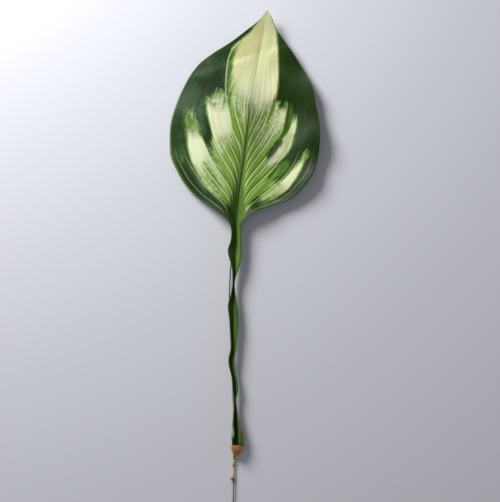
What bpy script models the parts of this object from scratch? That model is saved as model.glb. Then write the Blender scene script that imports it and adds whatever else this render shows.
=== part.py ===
# A dried, variegated hosta leaf, fixed to a florist's wire with hot-melt glue, lying on its back.
# The upper face looks up (+Z), the leaf runs along +Y from its cut end to its tip, and the floor is z = 0.
# Four pieces: leaf (blade, midrib and petiole in one), stem_wire, glue_cap and glue_seam.
# Lengths are in millimetres until a point goes into a mesh. The drawing's zero lies in the glue lump, just
# below the petiole's cut end.

import math

import bmesh
import bpy
from mathutils import Matrix, Vector

MM = 0.001

# Driving dimensions
PETIOLE_START_Y = 2.3
BLADE_BASE_Y = 197.0
TIP_Y = 375.0
FOOTPRINT_CENTRE = (7.43, 158.08)
BLADE_THICKNESS = 0.7
SEAT_GAP = 0.3
KEEL_GAP = 0.4

# The side veins, left (-1) and right (1): each keeps to one strand, 0 at the midrib and 1 at the margin
VEINS = {
    -1: (0.09, 0.19, 0.28, 0.38, 0.48, 0.55, 0.62, 0.72, 0.80, 0.89, 0.955),
    1: (0.10, 0.20, 0.29, 0.38, 0.465, 0.535, 0.615, 0.67, 0.74, 0.85, 0.96),
}

# Grid of the leaf: a column on each vein and one between, and rows along it
COLUMNS_A_SIDE = 24
PETIOLE_COLUMNS = (0, 4, 8, 12, 16, 20, 24)
BLADE_ROWS = 34
PETIOLE_ROWS = 45
ROW_CROWDING = 0.5

# Outline: the midrib's course across (Y, X), and how far each edge lies from it (Y, reach)
MIDRIB_X = [
    (0, 1.3), (19, 0.4), (40, -0.7), (53, -0.4), (73, -3.0), (84, -2.2), (101, -2.4), (122, -1.9),
    (140, -1.9), (157, -0.4), (183, 0.7), (197, 0.9), (213, 2.0), (246, 6.5), (292, 12.0),
    (328, 18.5), (375, 27.0),
]
LEFT_REACH = [
    (0, 4.9), (6, 4.7), (12, 2.6), (19, 3.1), (36, 1.3), (42, 1.2), (53, 3.0), (62, 2.8), (77, 3.9),
    (88, 2.4), (109, 3.7), (122, 5.4), (131, 3.0), (142, 1.1), (153, 2.8), (170, 7.6), (178, 5.4),
    (184, 4.9), (191, 6.0), (198.5, 11.2), (208, 23.5), (219, 40.0), (234, 53.5), (255, 64.5),
    (276, 66.5), (297, 63.5), (317, 57.5), (328, 51.5), (338, 41.0), (348, 27.0), (359, 14.2),
    (366, 6.4), (375, 0.0),
]
RIGHT_REACH = [
    (0, 5.9), (12, 6.0), (19, 4.3), (36, 1.8), (42, 1.3), (49, 2.6), (69, 1.6), (88, 3.0), (109, 4.9),
    (122, 3.5), (140, 1.1), (153, 3.1), (161, 5.0), (170, 5.5), (184, 4.5), (191, 4.5), (198.5, 8.6),
    (203.5, 17.2), (208.5, 32.0), (214, 45.5), (224, 54.6), (239.5, 62.0), (255, 63.4), (276, 61.5),
    (297, 55.0), (307, 51.5), (317, 45.4), (338, 29.2), (359, 11.0), (369, 4.7), (375, 0.0),
]

PETIOLE_WALL_LEAN = 0.62
NARROWEST_REACH = 0.45
SPREAD_LENGTH = 15.0

# Height of the midrib's underside along the leaf, the midrib's thickness above it, and the share of
# the groove's width that this thickness fills
KEEL_Z = [
    (0, 2.8), (60, 2.9), (140, 3.1), (197, 4.0), (225, 5.4), (247, 7.0), (275, 8.6), (305, 7.5),
    (335, 4.4), (352, 5.8), (375, 11.8),
]
MIDRIB_THICKNESS = [
    (0, 1.9), (20, 1.6), (40, 0.9), (58, 1.4), (122, 1.6), (142, 0.9), (160, 1.6), (197, 2.0),
    (247, 1.15), (272, 0.9), (300, 0.8), (375, 0.7),
]
KEEL_SHARE = 0.5

# How far the groove's walls rise, and over what width they do it in the blade
GROOVE_RISE = [
    (0, 4.4), (20, 5.0), (40, 4.6), (75, 4.2), (122, 4.4), (142, 5.6), (170, 5.0), (184, 6.0),
    (197, 5.6), (215, 4.4), (250, 1.6), (300, 0.5), (375, 0.2),
]
GROOVE_ROUNDING = 0.16
GROOVE_STEEPNESS = 1.1
BLADE_GROOVE_WIDTH = 2.2
BASE_GROOVE_EXTRA = 8.0
BASE_GROOVE_LENGTH = 30.0

# Heights of the upper face halfway out and at the margin: the left half arches and comes down
# to the floor at its margin, the right half sags to the floor and turns up at its margin.
HALFWAY = 0.5
LEFT_HALFWAY_Z = [(197, 12.5), (245, 12.6), (270, 12.2), (300, 10.6), (325, 8.4), (345, 7.2), (375, 12.5)]
LEFT_MARGIN_Z = [
    (197, 12.5), (219, 6.0), (240, 3.4), (262, 1.9), (280, 1.6), (300, 2.8), (338, 6.5), (375, 12.5),
]
RIGHT_HALFWAY_Z = [
    (197, 12.0), (215, 7.0), (240, 2.6), (268, 1.05), (282, 0.93), (305, 4.2), (335, 6.2), (375, 12.5),
]
RIGHT_MARGIN_Z = [
    (197, 12.0), (215, 9.5), (240, 11.0), (262, 13.0), (285, 12.0), (310, 9.0), (338, 7.0), (375, 12.5),
]
FLAT_REACH = 8.0
SPREAD_REACH = 38.0

# Waves of the margins, and the relief of the veins
WAVE_HEIGHT = 1.3
WAVE_LENGTH = {-1: 46.0, 1: 39.0}
WAVE_START = {-1: 0.6, 1: 2.4}
VEIN_RELIEF = [(197, 0.5), (225, 0.42), (262, 0.28), (300, 0.14), (375, 0.06)]
RELIEF_BEND = 0.026

# The midrib's half width in the blade, which every vein still keeps to before it leaves
MIDRIB_HALF_WIDTH = 1.6
MIDRIB_TIP_HALF_WIDTH = 0.4
MIDRIB_BASE_EXTRA = 5.5
MIDRIB_BASE_LENGTH = 28.0

# How the veins leave the midrib: the outermost first, the innermost DEPART_LENGTH further up
DEPART_LENGTH = 98.0
DEPART_POWER = 0.9
DEPART_SOFTNESS = 0.06
STRAND_POWER = 1.12

# Florist's wire: 18 gauge, 305 mm long, its course across under the leaf (Y, X)
WIRE_RADIUS = 0.55
WIRE_TOP_Y = 247.0
WIRE_END_Y = -59.0
WIRE_POINTS = 58
WIRE_X = [
    (-59, -2.6), (-47, -2.3), (-28, -1.9), (-6, -1.4), (10, -3.4), (36, -2.4), (80, -3.9), (131, -5.6),
    (153, -4.6), (175, -2.4), (197, 0.3), (213, 2.0), (230, 4.3), (247, 6.7),
]

# Hot-melt glue: the lump on the cut end, its run down the wire, and the bead at the run's end.
# GLUE_ROOM is more than the glue's size, and SEAM_ is the hidden bead at the wire's top.
LUMP_CENTRE = (1.0, 1.2, 4.4)
LUMP_RADII = (5.7, 7.2, 4.9)
RUN_RADII = [(-27.0, 1.25), (-20.0, 1.3), (-12.0, 1.45), (-8.0, 1.7), (-4.0, 2.1), (-2.0, 2.1)]
RUN_POINTS = 20
BEAD_Y = -26.7
BEAD_OFFSET_X = -1.5
BEAD_RADIUS = 1.75
GLUE_ROOM = 40.0
SEAM_Y = 230.0
SEAM_RADII = (1.9, 14.0, 1.5)

COLOURS = {
    "leaf": ((0.16, 0.30, 0.07, 1.0), 0.5, 0.0),
    "stem_wire": ((0.08, 0.10, 0.10, 1.0), 0.45, 0.6),
    "glue_cap": ((0.58, 0.22, 0.03, 1.0), 0.3, 0.0),
    "glue_seam": ((0.58, 0.22, 0.03, 1.0), 0.3, 0.0),
}


def smooth_line(stations, at):
    """Value at a place on the smooth line through the stations, which never overshoots them."""
    if at <= stations[0][0]:
        return stations[0][1]
    if at >= stations[-1][0]:
        return stations[-1][1]
    slopes = [(b[1] - a[1]) / (b[0] - a[0]) for a, b in zip(stations, stations[1:])]
    tangents = [slopes[0]]
    for before, after in zip(slopes, slopes[1:]):
        turning = before * after <= 0
        tangents.append(0.0 if turning else 2 * before * after / (before + after))
    tangents.append(slopes[-1])
    i = max(k for k in range(len(slopes)) if stations[k][0] <= at)
    (x0, y0), (x1, y1) = stations[i], stations[i + 1]
    h = x1 - x0
    t = (at - x0) / h
    start = (1 + 2 * t) * (1 - t) ** 2 * y0 + t * (1 - t) ** 2 * h * tangents[i]
    end = t * t * (3 - 2 * t) * y1 + t * t * (t - 1) * h * tangents[i + 1]
    return start + end


def ease(t):
    """0 to 1 with level ends."""
    t = min(max(t, 0.0), 1.0)
    return t * t * (3 - 2 * t)


def soft_ramp(t):
    return DEPART_SOFTNESS * math.log1p(math.exp(t / DEPART_SOFTNESS))


def strand_share(strand, up):
    """How far out of the midrib a strand lies, 0 to 1, at a height up the blade."""
    leaving = 1 - min(max(up / DEPART_LENGTH, 0), 1) ** DEPART_POWER
    low = soft_ramp(-leaving)
    high = soft_ramp(1 - leaving)
    return ((soft_ramp(strand - leaving) - low) / (high - low)) ** STRAND_POWER


def reach_at(y, side):
    """The upper face's edge. The petiole's steep walls thicken outwards, so theirs lies further in."""
    reach = smooth_line(LEFT_REACH if side < 0 else RIGHT_REACH, y)
    lean = PETIOLE_WALL_LEAN * (1 - ease((y - BLADE_BASE_Y) / SPREAD_LENGTH))
    return max(reach - lean, NARROWEST_REACH) if lean > 0 else reach


def midrib_half_width(up):
    taper = MIDRIB_HALF_WIDTH * (1 - up / (TIP_Y - BLADE_BASE_Y)) + MIDRIB_TIP_HALF_WIDTH
    return taper + MIDRIB_BASE_EXTRA * math.exp(-up / MIDRIB_BASE_LENGTH)


def strand_offset(strand, y, side):
    """Distance of a strand (0 midrib, 1 margin) from the midrib's middle."""
    reach = reach_at(y, side)
    up = y - BLADE_BASE_Y
    if up <= 0:
        return reach * strand
    core = min(reach, midrib_half_width(up))
    return core * strand + (reach - core) * strand_share(strand, up)


def groove_width(y, side):
    """In the petiole the groove takes the whole width, in the blade it narrows to the midrib."""
    up = y - BLADE_BASE_Y
    reach = max(reach_at(y, side), 0.01)
    if up <= 0:
        return reach
    return min(reach, BLADE_GROOVE_WIDTH + BASE_GROOVE_EXTRA * math.exp(-up / BASE_GROOVE_LENGTH))


def groove_z(y):
    return smooth_line(KEEL_Z, y) + smooth_line(MIDRIB_THICKNESS, y)


def groove_wall(y, side, offset):
    """Rise of the upper face above the groove's bottom, from a rounded V to a level shoulder."""
    t = offset / groove_width(y, side)
    rounded = math.hypot(t, GROOVE_ROUNDING) - GROOVE_ROUNDING
    return smooth_line(GROOVE_RISE, y) * math.tanh(GROOVE_STEEPNESS * rounded) / math.tanh(GROOVE_STEEPNESS)


def blade_fall(y, side, outwards):
    """Height against the shoulder, by a curve through the shoulder, the halfway height and the margin."""
    shoulder = groove_z(y) + smooth_line(GROOVE_RISE, y) / math.tanh(GROOVE_STEEPNESS)
    halfway = smooth_line(LEFT_HALFWAY_Z if side < 0 else RIGHT_HALFWAY_Z, y) - shoulder
    margin = smooth_line(LEFT_MARGIN_Z if side < 0 else RIGHT_MARGIN_Z, y) - shoulder
    by_halfway = halfway * outwards * (1 - outwards) / (HALFWAY * (1 - HALFWAY))
    by_margin = margin * outwards * (outwards - HALFWAY) / (1 - HALFWAY)
    wave = WAVE_HEIGHT * math.sin(WAVE_START[side] + 2 * math.pi * y / WAVE_LENGTH[side]) * outwards ** 3
    return by_halfway + by_margin + wave


def strand_places(side):
    """The strands of the columns: the midrib, then halfway to each vein and the vein, the margin last."""
    places = [0.0]
    for vein in VEINS[side] + (1.0,):
        places += [(places[-1] + vein) / 2, vein]
    return places


def vein_relief(strand, y, side):
    """Veins lie in shallow grooves of the upper face, deeper where they are further apart."""
    lines = (0.0,) + VEINS[side] + (1.0,)
    lane = max(k for k in range(len(lines) - 1) if lines[k] <= strand or k == 0)
    low, high = lines[lane], lines[lane + 1]
    across = (strand - low) / (high - low)
    if high == 1.0:
        across /= 2
    width = strand_offset(high, y, side) - strand_offset(low, y, side)
    depth = min(smooth_line(VEIN_RELIEF, y), RELIEF_BEND * width * width)
    return -0.5 * depth * (1 + math.cos(2 * math.pi * across))


def leaf_point(y, side, strand):
    """A point of the leaf's upper face."""
    offset = strand_offset(strand, y, side)
    reach = reach_at(y, side)
    spread = ease((reach - FLAT_REACH) / (SPREAD_REACH - FLAT_REACH))
    z = groove_z(y) + groove_wall(y, side, offset)
    if spread > 0:
        z += spread * (blade_fall(y, side, offset / reach) + vein_relief(strand, y, side))
    return Vector((smooth_line(MIDRIB_X, y) + side * offset, y, z))


def leaf_thickness(y, side, strand):
    """The midrib is thick and the blade thin; the petiole's walls are a little thicker than the blade."""
    middle = smooth_line(MIDRIB_THICKNESS, y)
    offset = strand_offset(strand, y, side)
    near = math.exp(-((offset / (KEEL_SHARE * groove_width(y, side))) ** 2))
    return BLADE_THICKNESS + (middle - BLADE_THICKNESS) * near


def wire_point(y):
    """The wire's middle, just under the leaf's keel."""
    return Vector((smooth_line(WIRE_X, y), y, smooth_line(KEEL_Z, y) - KEEL_GAP - WIRE_RADIUS))


def placed(point):
    """From the drawing in millimetres to the part's frame in metres."""
    shifted = Vector((point[0] - FOOTPRINT_CENTRE[0], point[1] - FOOTPRINT_CENTRE[1], point[2]))
    return shifted * MM


def finish_material(name):
    colour, roughness, metallic = COLOURS[name]
    material = bpy.data.materials.new(name)
    material.use_nodes = True
    shader = material.node_tree.nodes["Principled BSDF"]
    shader.inputs["Base Color"].default_value = colour
    shader.inputs["Roughness"].default_value = roughness
    shader.inputs["Metallic"].default_value = metallic
    return material


def add_object(name, data, collection):
    piece = bpy.data.objects.new(name, data)
    collection.objects.link(piece)
    return piece


def mesh_from(bm, name):
    mesh = bpy.data.meshes.new(name)
    bm.to_mesh(mesh)
    bm.free()
    return mesh


# The leaf


def row_places():
    """Y of each row, with the blade's rows closer at its base and tip."""
    step = (BLADE_BASE_Y - PETIOLE_START_Y) / PETIOLE_ROWS
    petiole = [PETIOLE_START_Y + step * k for k in range(PETIOLE_ROWS)]
    blade = []
    for k in range(BLADE_ROWS + 1):
        t = k / BLADE_ROWS
        t -= ROW_CROWDING * math.sin(2 * math.pi * t) / (2 * math.pi)
        blade.append(BLADE_BASE_Y + (TIP_Y - BLADE_BASE_Y) * t)
    return petiole + blade


def thin_out_petiole(bm):
    """Fewer strands are enough in the petiole: the lengthwise edges between the kept ones go."""
    spare = []
    for edge in bm.edges:
        (column_a, row_a), (column_b, row_b) = [(round(v.co.x), round(v.co.y)) for v in edge.verts]
        lengthwise = column_a == column_b
        in_petiole = max(row_a, row_b) <= PETIOLE_ROWS
        if lengthwise and in_petiole and abs(column_a) not in PETIOLE_COLUMNS:
            spare.append(edge)
    bmesh.ops.dissolve_edges(bm, edges=spare, use_verts=True)


def make_leaf(collection):
    """A grid is laid out by column and row, and its points are moved to the leaf's upper face."""
    rows = row_places()
    bm = bmesh.new()
    bmesh.ops.create_grid(bm, x_segments=2 * COLUMNS_A_SIDE, y_segments=len(rows) - 1, size=1.0)
    for v in bm.verts:
        v.co.x = round(v.co.x * COLUMNS_A_SIDE)
        v.co.y = round((v.co.y + 1) / 2 * (len(rows) - 1))
    thin_out_petiole(bm)
    places = {side: strand_places(side) for side in (-1, 1)}
    weights = {}
    bm.verts.index_update()
    for v in bm.verts:
        side = -1 if v.co.x < 0 else 1
        strand = places[side][abs(round(v.co.x))]
        y = rows[round(v.co.y)]
        weights[v.index] = leaf_thickness(y, side, strand)
        v.co = placed(leaf_point(y, side, strand))
    thickest = max(weights.values())
    deform = bm.verts.layers.deform.verify()
    for v in bm.verts:
        v[deform][0] = weights[v.index] / thickest
    bmesh.ops.remove_doubles(bm, verts=bm.verts, dist=0.00001)
    bmesh.ops.triangulate(bm, faces=bm.faces)
    piece = add_object("leaf", mesh_from(bm, "leaf"), collection)
    piece.vertex_groups.new(name="thickness")
    wall = piece.modifiers.new("wall", "SOLIDIFY")
    wall.thickness = thickest * MM
    wall.offset = -1
    wall.vertex_group = "thickness"
    return piece


# The wire


def tube(name, middles, radii, collection):
    """A round tube through the points: a curve with a bevel and filled ends."""
    curve = bpy.data.curves.new(name, "CURVE")
    curve.dimensions = "3D"
    curve.bevel_depth = MM
    curve.bevel_resolution = 2
    curve.use_fill_caps = True
    spline = curve.splines.new("POLY")
    spline.points.add(len(middles) - 1)
    for point, middle, radius in zip(spline.points, middles, radii):
        point.co = (*placed(middle), 1)
        point.radius = radius
    return add_object(name, curve, collection)


def along_wire(start_y, end_y, count):
    return [wire_point(start_y + (end_y - start_y) * k / (count - 1)) for k in range(count)]


def make_wire(collection):
    middles = along_wire(WIRE_END_Y, WIRE_TOP_Y, WIRE_POINTS)
    return tube("stem_wire", middles, [WIRE_RADIUS] * len(middles), collection)


# The glue


def as_mesh(piece):
    """A curve can't be joined or cut, so it is made a mesh and its end caps are welded on."""
    depsgraph = bpy.context.evaluated_depsgraph_get()
    mesh = bpy.data.meshes.new_from_object(piece.evaluated_get(depsgraph))
    bm = bmesh.new()
    bm.from_mesh(mesh)
    bmesh.ops.remove_doubles(bm, verts=bm.verts, dist=0.000001)
    bm.to_mesh(mesh)
    bm.free()
    collection = piece.users_collection[0]
    name = piece.name
    bpy.data.objects.remove(piece)
    return add_object(name, mesh, collection)


def ellipsoid(name, centre, radii, collection, segments=28, rings=16):
    bm = bmesh.new()
    bmesh.ops.create_uvsphere(bm, u_segments=segments, v_segments=rings, radius=MM)
    bmesh.ops.scale(bm, vec=radii, verts=bm.verts)
    bmesh.ops.translate(bm, vec=placed(centre), verts=bm.verts)
    return add_object(name, mesh_from(bm, name), collection)


def block(name, low, high, collection):
    bm = bmesh.new()
    bmesh.ops.create_cube(bm, size=1.0)
    low, high = placed(low), placed(high)
    size = high - low
    middle = (low + high) / 2
    bmesh.ops.transform(bm, matrix=Matrix.Translation(middle) @ Matrix.Diagonal((*size, 1)), verts=bm.verts)
    return add_object(name, mesh_from(bm, name), collection)


def combine(piece, other, operation):
    change = piece.modifiers.new(other.name, "BOOLEAN")
    change.operation = operation
    change.object = other
    change.solver = "EXACT"
    other.hide_render = True
    other.display_type = "WIRE"


def wire_clearance(collection):
    """The wire with its gap all round, which the glue keeps clear of."""
    middles = along_wire(WIRE_END_Y, WIRE_TOP_Y, WIRE_POINTS)
    return as_mesh(tube("wire_clearance", middles, [WIRE_RADIUS + SEAT_GAP] * len(middles), collection))


def make_glue_cap(collection, cutters, clearance):
    """The lump, the run and the bead set as one piece, cut level where it rests on the floor."""
    cap = ellipsoid("glue_cap", LUMP_CENTRE, LUMP_RADII, collection)
    middles = along_wire(RUN_RADII[0][0], RUN_RADII[-1][0], RUN_POINTS)
    radii = [smooth_line(RUN_RADII, middle.y) for middle in middles]
    combine(cap, as_mesh(tube("glue_run", middles, radii, cutters)), "UNION")
    bead_centre = wire_point(BEAD_Y) + Vector((BEAD_OFFSET_X, 0, 0))
    combine(cap, ellipsoid("glue_bead", bead_centre, [BEAD_RADIUS] * 3, cutters, 16, 10), "UNION")
    combine(cap, clearance, "DIFFERENCE")
    room = GLUE_ROOM
    cap_top = PETIOLE_START_Y - SEAT_GAP
    combine(cap, block("petiole_side", (-room, cap_top, -room), (room, room, room), cutters), "DIFFERENCE")
    combine(cap, block("floor_side", (-room, -room, -room), (room, room, 0), cutters), "DIFFERENCE")
    return cap


def make_glue_seam(collection, clearance):
    """A low bead under the wire near its top end, level with the wire's top so it clears the midrib."""
    bm = bmesh.new()
    bmesh.ops.create_uvsphere(bm, u_segments=16, v_segments=14, radius=1.0)
    bmesh.ops.scale(bm, vec=SEAM_RADII, verts=bm.verts)
    level = bmesh.ops.bisect_plane(
        bm, geom=bm.verts[:] + bm.edges[:] + bm.faces[:], dist=0.0001,
        plane_co=(0, 0, WIRE_RADIUS), plane_no=(0, 0, 1), clear_outer=True,
    )
    rim = [part for part in level["geom_cut"] if isinstance(part, bmesh.types.BMEdge)]
    bmesh.ops.contextual_create(bm, geom=rim)
    for v in bm.verts:
        middle = wire_point(SEAM_Y + v.co.y)
        v.co = placed((middle.x + v.co.x, middle.y, middle.z + v.co.z))
    seam = add_object("glue_seam", mesh_from(bm, "glue_seam"), collection)
    combine(seam, clearance, "DIFFERENCE")
    return seam


def build():
    for old in list(bpy.data.objects):
        bpy.data.objects.remove(old)
    collection = bpy.data.collections.new("hosta_leaf")
    cutters = bpy.data.collections.new("cutters")
    bpy.context.scene.collection.children.link(collection)
    bpy.context.scene.collection.children.link(cutters)
    clearance = wire_clearance(cutters)
    pieces = [
        make_leaf(collection),
        make_wire(collection),
        make_glue_cap(collection, cutters, clearance),
        make_glue_seam(collection, clearance),
    ]
    for piece in pieces:
        piece.data.materials.append(finish_material(piece.name))
        if piece.type == "MESH":
            piece.data.shade_smooth()


build()
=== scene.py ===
# %% [markdown]
# # A dried hosta leaf on a florist's wire
#
# The real object is one big leaf, cut off at the foot of its stalk. Its blade is dark green with
# cream flames that run up along the veins. A thin enamelled wire lies under the midrib and holds it
# straight, and hot-melt glue joins the two at the stalk's cut end.
#
# The solids that carry weight and collision are already packed. This script loads them as a fixed
# frame and dresses them: each piece is remade finer, in the same place, and gets its own finish.

# %% The packed frame
import math
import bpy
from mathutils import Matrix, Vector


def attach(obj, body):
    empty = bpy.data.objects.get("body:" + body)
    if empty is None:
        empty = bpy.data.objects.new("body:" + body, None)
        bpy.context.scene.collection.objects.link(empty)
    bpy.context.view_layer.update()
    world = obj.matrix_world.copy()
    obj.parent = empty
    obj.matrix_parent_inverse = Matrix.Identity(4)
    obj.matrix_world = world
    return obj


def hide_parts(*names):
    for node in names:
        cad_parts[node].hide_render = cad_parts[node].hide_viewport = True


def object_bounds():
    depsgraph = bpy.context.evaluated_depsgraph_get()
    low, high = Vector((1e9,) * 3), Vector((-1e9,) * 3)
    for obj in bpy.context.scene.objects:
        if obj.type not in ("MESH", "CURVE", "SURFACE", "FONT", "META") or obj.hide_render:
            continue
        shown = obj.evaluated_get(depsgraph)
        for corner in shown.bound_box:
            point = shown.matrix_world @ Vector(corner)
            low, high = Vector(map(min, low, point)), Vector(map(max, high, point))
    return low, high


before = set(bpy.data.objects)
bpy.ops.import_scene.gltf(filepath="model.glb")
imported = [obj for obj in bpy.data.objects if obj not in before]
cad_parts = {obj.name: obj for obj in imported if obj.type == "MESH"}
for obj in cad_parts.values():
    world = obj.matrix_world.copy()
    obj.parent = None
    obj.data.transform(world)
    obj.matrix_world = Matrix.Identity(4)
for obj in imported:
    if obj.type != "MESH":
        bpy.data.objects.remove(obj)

from types import SimpleNamespace

import bmesh
import bpy
import numpy as np
from mathutils import Vector, noise

cad_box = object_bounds()
MM = 0.001
for corner, place in zip(("lowest", "highest"), cad_box):
    print("solids,", corner, "corner:", [round(c / MM, 1) for c in place], "mm")

# %% [markdown]
# ## Where the camera stands
#
# The photograph looks straight down on the lying leaf. A long lens from a metre and a half away keeps
# the blade's near edges from growing, as they would close up. The picture is 500 by 502 pixels, and
# one pixel covers 0.862 mm of floor, so the lens follows from the sensor's width.

# %% Camera
PICTURE_WIDTH = 431.0 * MM
CAMERA_HEIGHT = 1.5
CAMERA_OVER = (4.67 * MM, 10.92 * MM)
SENSOR = 36.0


def make_camera():
    lens = bpy.data.cameras.new("camera")
    lens.type = "PERSP"
    lens.sensor_fit = "HORIZONTAL"
    lens.sensor_width = SENSOR
    lens.lens = SENSOR * CAMERA_HEIGHT / PICTURE_WIDTH
    camera = bpy.data.objects.new("camera", lens)
    camera.location = (*CAMERA_OVER, CAMERA_HEIGHT)
    bpy.context.scene.collection.objects.link(camera)
    bpy.context.scene.camera = camera
    return camera


print("lens", round(make_camera().data.lens, 1), "mm")

# %% [markdown]
# ## Light
#
# One large soft lamp stands low at the upper left, so that the groove of the stalk, the arch of the
# blade and its shadow on the floor all read. It stands near, and so the floor pales towards it. A weak,
# slightly blue sky fills the shadows. The plain view transform keeps colours as they are mixed.

# %% Lamp
LAMP_DISTANCE = 0.95
LAMP_TURN = math.radians(126)
LAMP_RISE = math.radians(30)
LAMP_SIZE = 0.42
LAMP_POWER = 9.6


def make_lamp():
    """A soft disk of light that faces the leaf."""
    light = bpy.data.lights.new("lamp", "AREA")
    light.shape = "DISK"
    light.size = LAMP_SIZE
    light.energy = LAMP_POWER
    lamp = bpy.data.objects.new("lamp", light)
    level = LAMP_DISTANCE * math.cos(LAMP_RISE)
    height = LAMP_DISTANCE * math.sin(LAMP_RISE)
    lamp.location = (level * math.cos(LAMP_TURN), level * math.sin(LAMP_TURN), height)
    lamp.rotation_euler = (-lamp.location).to_track_quat("-Z", "Y").to_euler()
    bpy.context.scene.collection.objects.link(lamp)
    return lamp


print("lamp of", make_lamp().data.energy, "W at", LAMP_DISTANCE, "m")

# %% Sky
SKY = (0.93, 0.95, 1.0)
SKY_STRENGTH = 0.22


def make_sky():
    world = bpy.data.worlds.new("sky")
    world.use_nodes = True
    background = world.node_tree.nodes["Background"]
    background.inputs["Color"].default_value = (*SKY, 1.0)
    background.inputs["Strength"].default_value = SKY_STRENGTH
    bpy.context.scene.world = world


make_sky()
bpy.context.scene.view_settings.view_transform = "Standard"
print("sky of strength", SKY_STRENGTH)

# %% [markdown]
# ## Small tools for shapes
#
# A leaf has no straight lines, so every course along it is a list of a few places with a value, and
# one smooth line through them. The line used here is a cubic that never swings past its points, which
# matters for an outline that pinches down to a millimetre. Arrays let it serve all points at once.
# Two more helpers turn a bmesh into an object and make an object's modifiers final.

# %% Smooth lines


def smooth_line(stations, at):
    """Values on the smooth line through the stations, which never overshoots them."""
    places, values = np.array(stations, dtype=float).T
    steps = np.diff(places)
    slopes = np.diff(values) / steps
    before, after = slopes[:-1], slopes[1:]
    turning = before * after <= 0
    inner = np.where(turning, 0.0, 2 * before * after / np.where(turning, 1.0, before + after))
    tangents = np.concatenate((slopes[:1], inner, slopes[-1:]))
    at = np.clip(at, places[0], places[-1])
    i = np.clip(np.searchsorted(places, at, side="right") - 1, 0, len(steps) - 1)
    h = steps[i]
    t = (at - places[i]) / h
    start = (1 + 2 * t) * (1 - t) ** 2 * values[i] + t * (1 - t) ** 2 * h * tangents[i]
    end = t * t * (3 - 2 * t) * values[i + 1] + t * t * (t - 1) * h * tangents[i + 1]
    return start + end


def ease(t):
    """0 to 1 with level ends."""
    t = np.clip(t, 0.0, 1.0)
    return t * t * (3 - 2 * t)


print("halfway from 1 to 3:", float(smooth_line([(0, 1), (10, 3)], 5.0)))

# %% Adding a piece


def add_piece(name, bm):
    """A bmesh becomes a smooth-shaded object at the origin."""
    mesh = bpy.data.meshes.new(name)
    bm.to_mesh(mesh)
    bm.free()
    mesh.shade_smooth()
    piece = bpy.data.objects.new(name, mesh)
    bpy.context.scene.collection.objects.link(piece)
    return piece


def apply_modifiers(piece):
    """The piece keeps its form, but as plain mesh."""
    depsgraph = bpy.context.evaluated_depsgraph_get()
    mesh = bpy.data.meshes.new_from_object(piece.evaluated_get(depsgraph))
    mesh.name = piece.name
    piece.modifiers.clear()
    piece.data = mesh
    return mesh


# %% [markdown]
# ## The leaf's drawing
#
# The drawing is in millimetres with its zero just below the stalk's cut end, and CENTRE is the point of
# it that lies on the frame's zero. The midrib has a course from side to side, and each edge a distance
# from it. Both were read off the picture at a few places. An edge that stands up like a wall leans out
# a little, so there the upper face ends inside the outline.

# %% Outline
PETIOLE_START = 2.3
BLADE_BASE = 197.0
TIP = 375.0
CENTRE = (7.43, 158.08)
MIDRIB_COURSE = [
    (0, 1.3), (19, 0.4), (40, -0.7), (53, -0.4), (73, -3.0), (84, -2.2), (101, -2.4), (122, -1.9),
    (140, -1.9), (157, -0.4), (183, 0.7), (197, 0.9), (213, 2.0), (246, 6.5), (292, 12.0),
    (328, 18.5), (375, 27.0),
]
REACH = {
    -1: [
        (0, 4.9), (6, 4.7), (12, 2.6), (19, 3.1), (36, 1.3), (42, 1.2), (53, 3.0), (62, 2.8), (77, 3.9),
        (88, 2.4), (109, 3.7), (122, 5.4), (131, 3.0), (142, 1.1), (153, 2.8), (170, 7.6), (178, 5.4),
        (184, 4.9), (191, 6.0), (198.5, 11.2), (208, 23.5), (219, 40.0), (234, 53.5), (255, 64.5),
        (276, 66.48), (297, 63.5), (317, 57.5), (328, 51.5), (338, 41.0), (348, 27.0), (359, 14.2),
        (366, 6.4), (375, 0.0),
    ],
    1: [
        (0, 5.9), (12, 6.0), (19, 4.3), (36, 1.8), (42, 1.3), (49, 2.6), (69, 1.6), (88, 3.0), (109, 4.9),
        (122, 3.5), (140, 1.1), (153, 3.1), (161, 5.0), (170, 5.5), (184, 4.5), (191, 4.5), (198.5, 8.6),
        (203.5, 17.2), (208.5, 32.0), (214, 45.5), (224, 54.6), (239.5, 62.0), (255, 63.4), (276, 61.5),
        (297, 55.0), (307, 51.5), (317, 45.4), (338, 29.2), (359, 11.0), (369, 4.7), (375, 0.0),
    ],
}
WALL_LEAN = 0.62
LEAST_REACH = 0.45
LEAN_FADE = 15.0
TINY = 0.01


def placed(x, y, z):
    """From the drawing in millimetres to the frame in metres."""
    return Vector(((x - CENTRE[0]) * MM, (y - CENTRE[1]) * MM, z * MM))


def reach_at(y, side):
    """How far the upper face's edge lies from the midrib's middle."""
    reach = smooth_line(REACH[side], y)
    lean = WALL_LEAN * (1 - ease((y - BLADE_BASE) / LEAN_FADE))
    return np.where(lean > 0, np.maximum(reach - lean, LEAST_REACH), reach)


WIDEST = 262.0
width = float(reach_at(WIDEST, -1) + reach_at(WIDEST, 1))
print("blade", round(width, 1), "mm wide,", TIP - BLADE_BASE, "mm long")

# %% [markdown]
# ## Strands
#
# Veins follow strands: a strand keeps the same share of the way from midrib (0) to margin (1), and it
# leaves the midrib the later, the nearer it lies to it. One set of strands therefore gives the grid, the
# relief and, later on, the course of every flame and streak.

# %% Strands
RIB_HALF_WIDTH = 1.6
RIB_TIP_HALF_WIDTH = 0.4
RIB_FOOT_EXTRA = 5.5
RIB_FOOT_LENGTH = 28.0
LEAVING_LENGTH = 98.0
LEAVING_POWER = 0.9
LEAVING_SOFTNESS = 0.06
STRAND_POWER = 1.12
OPENING_FROM = 190.0
OPENING_LENGTH = 16.0


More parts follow.
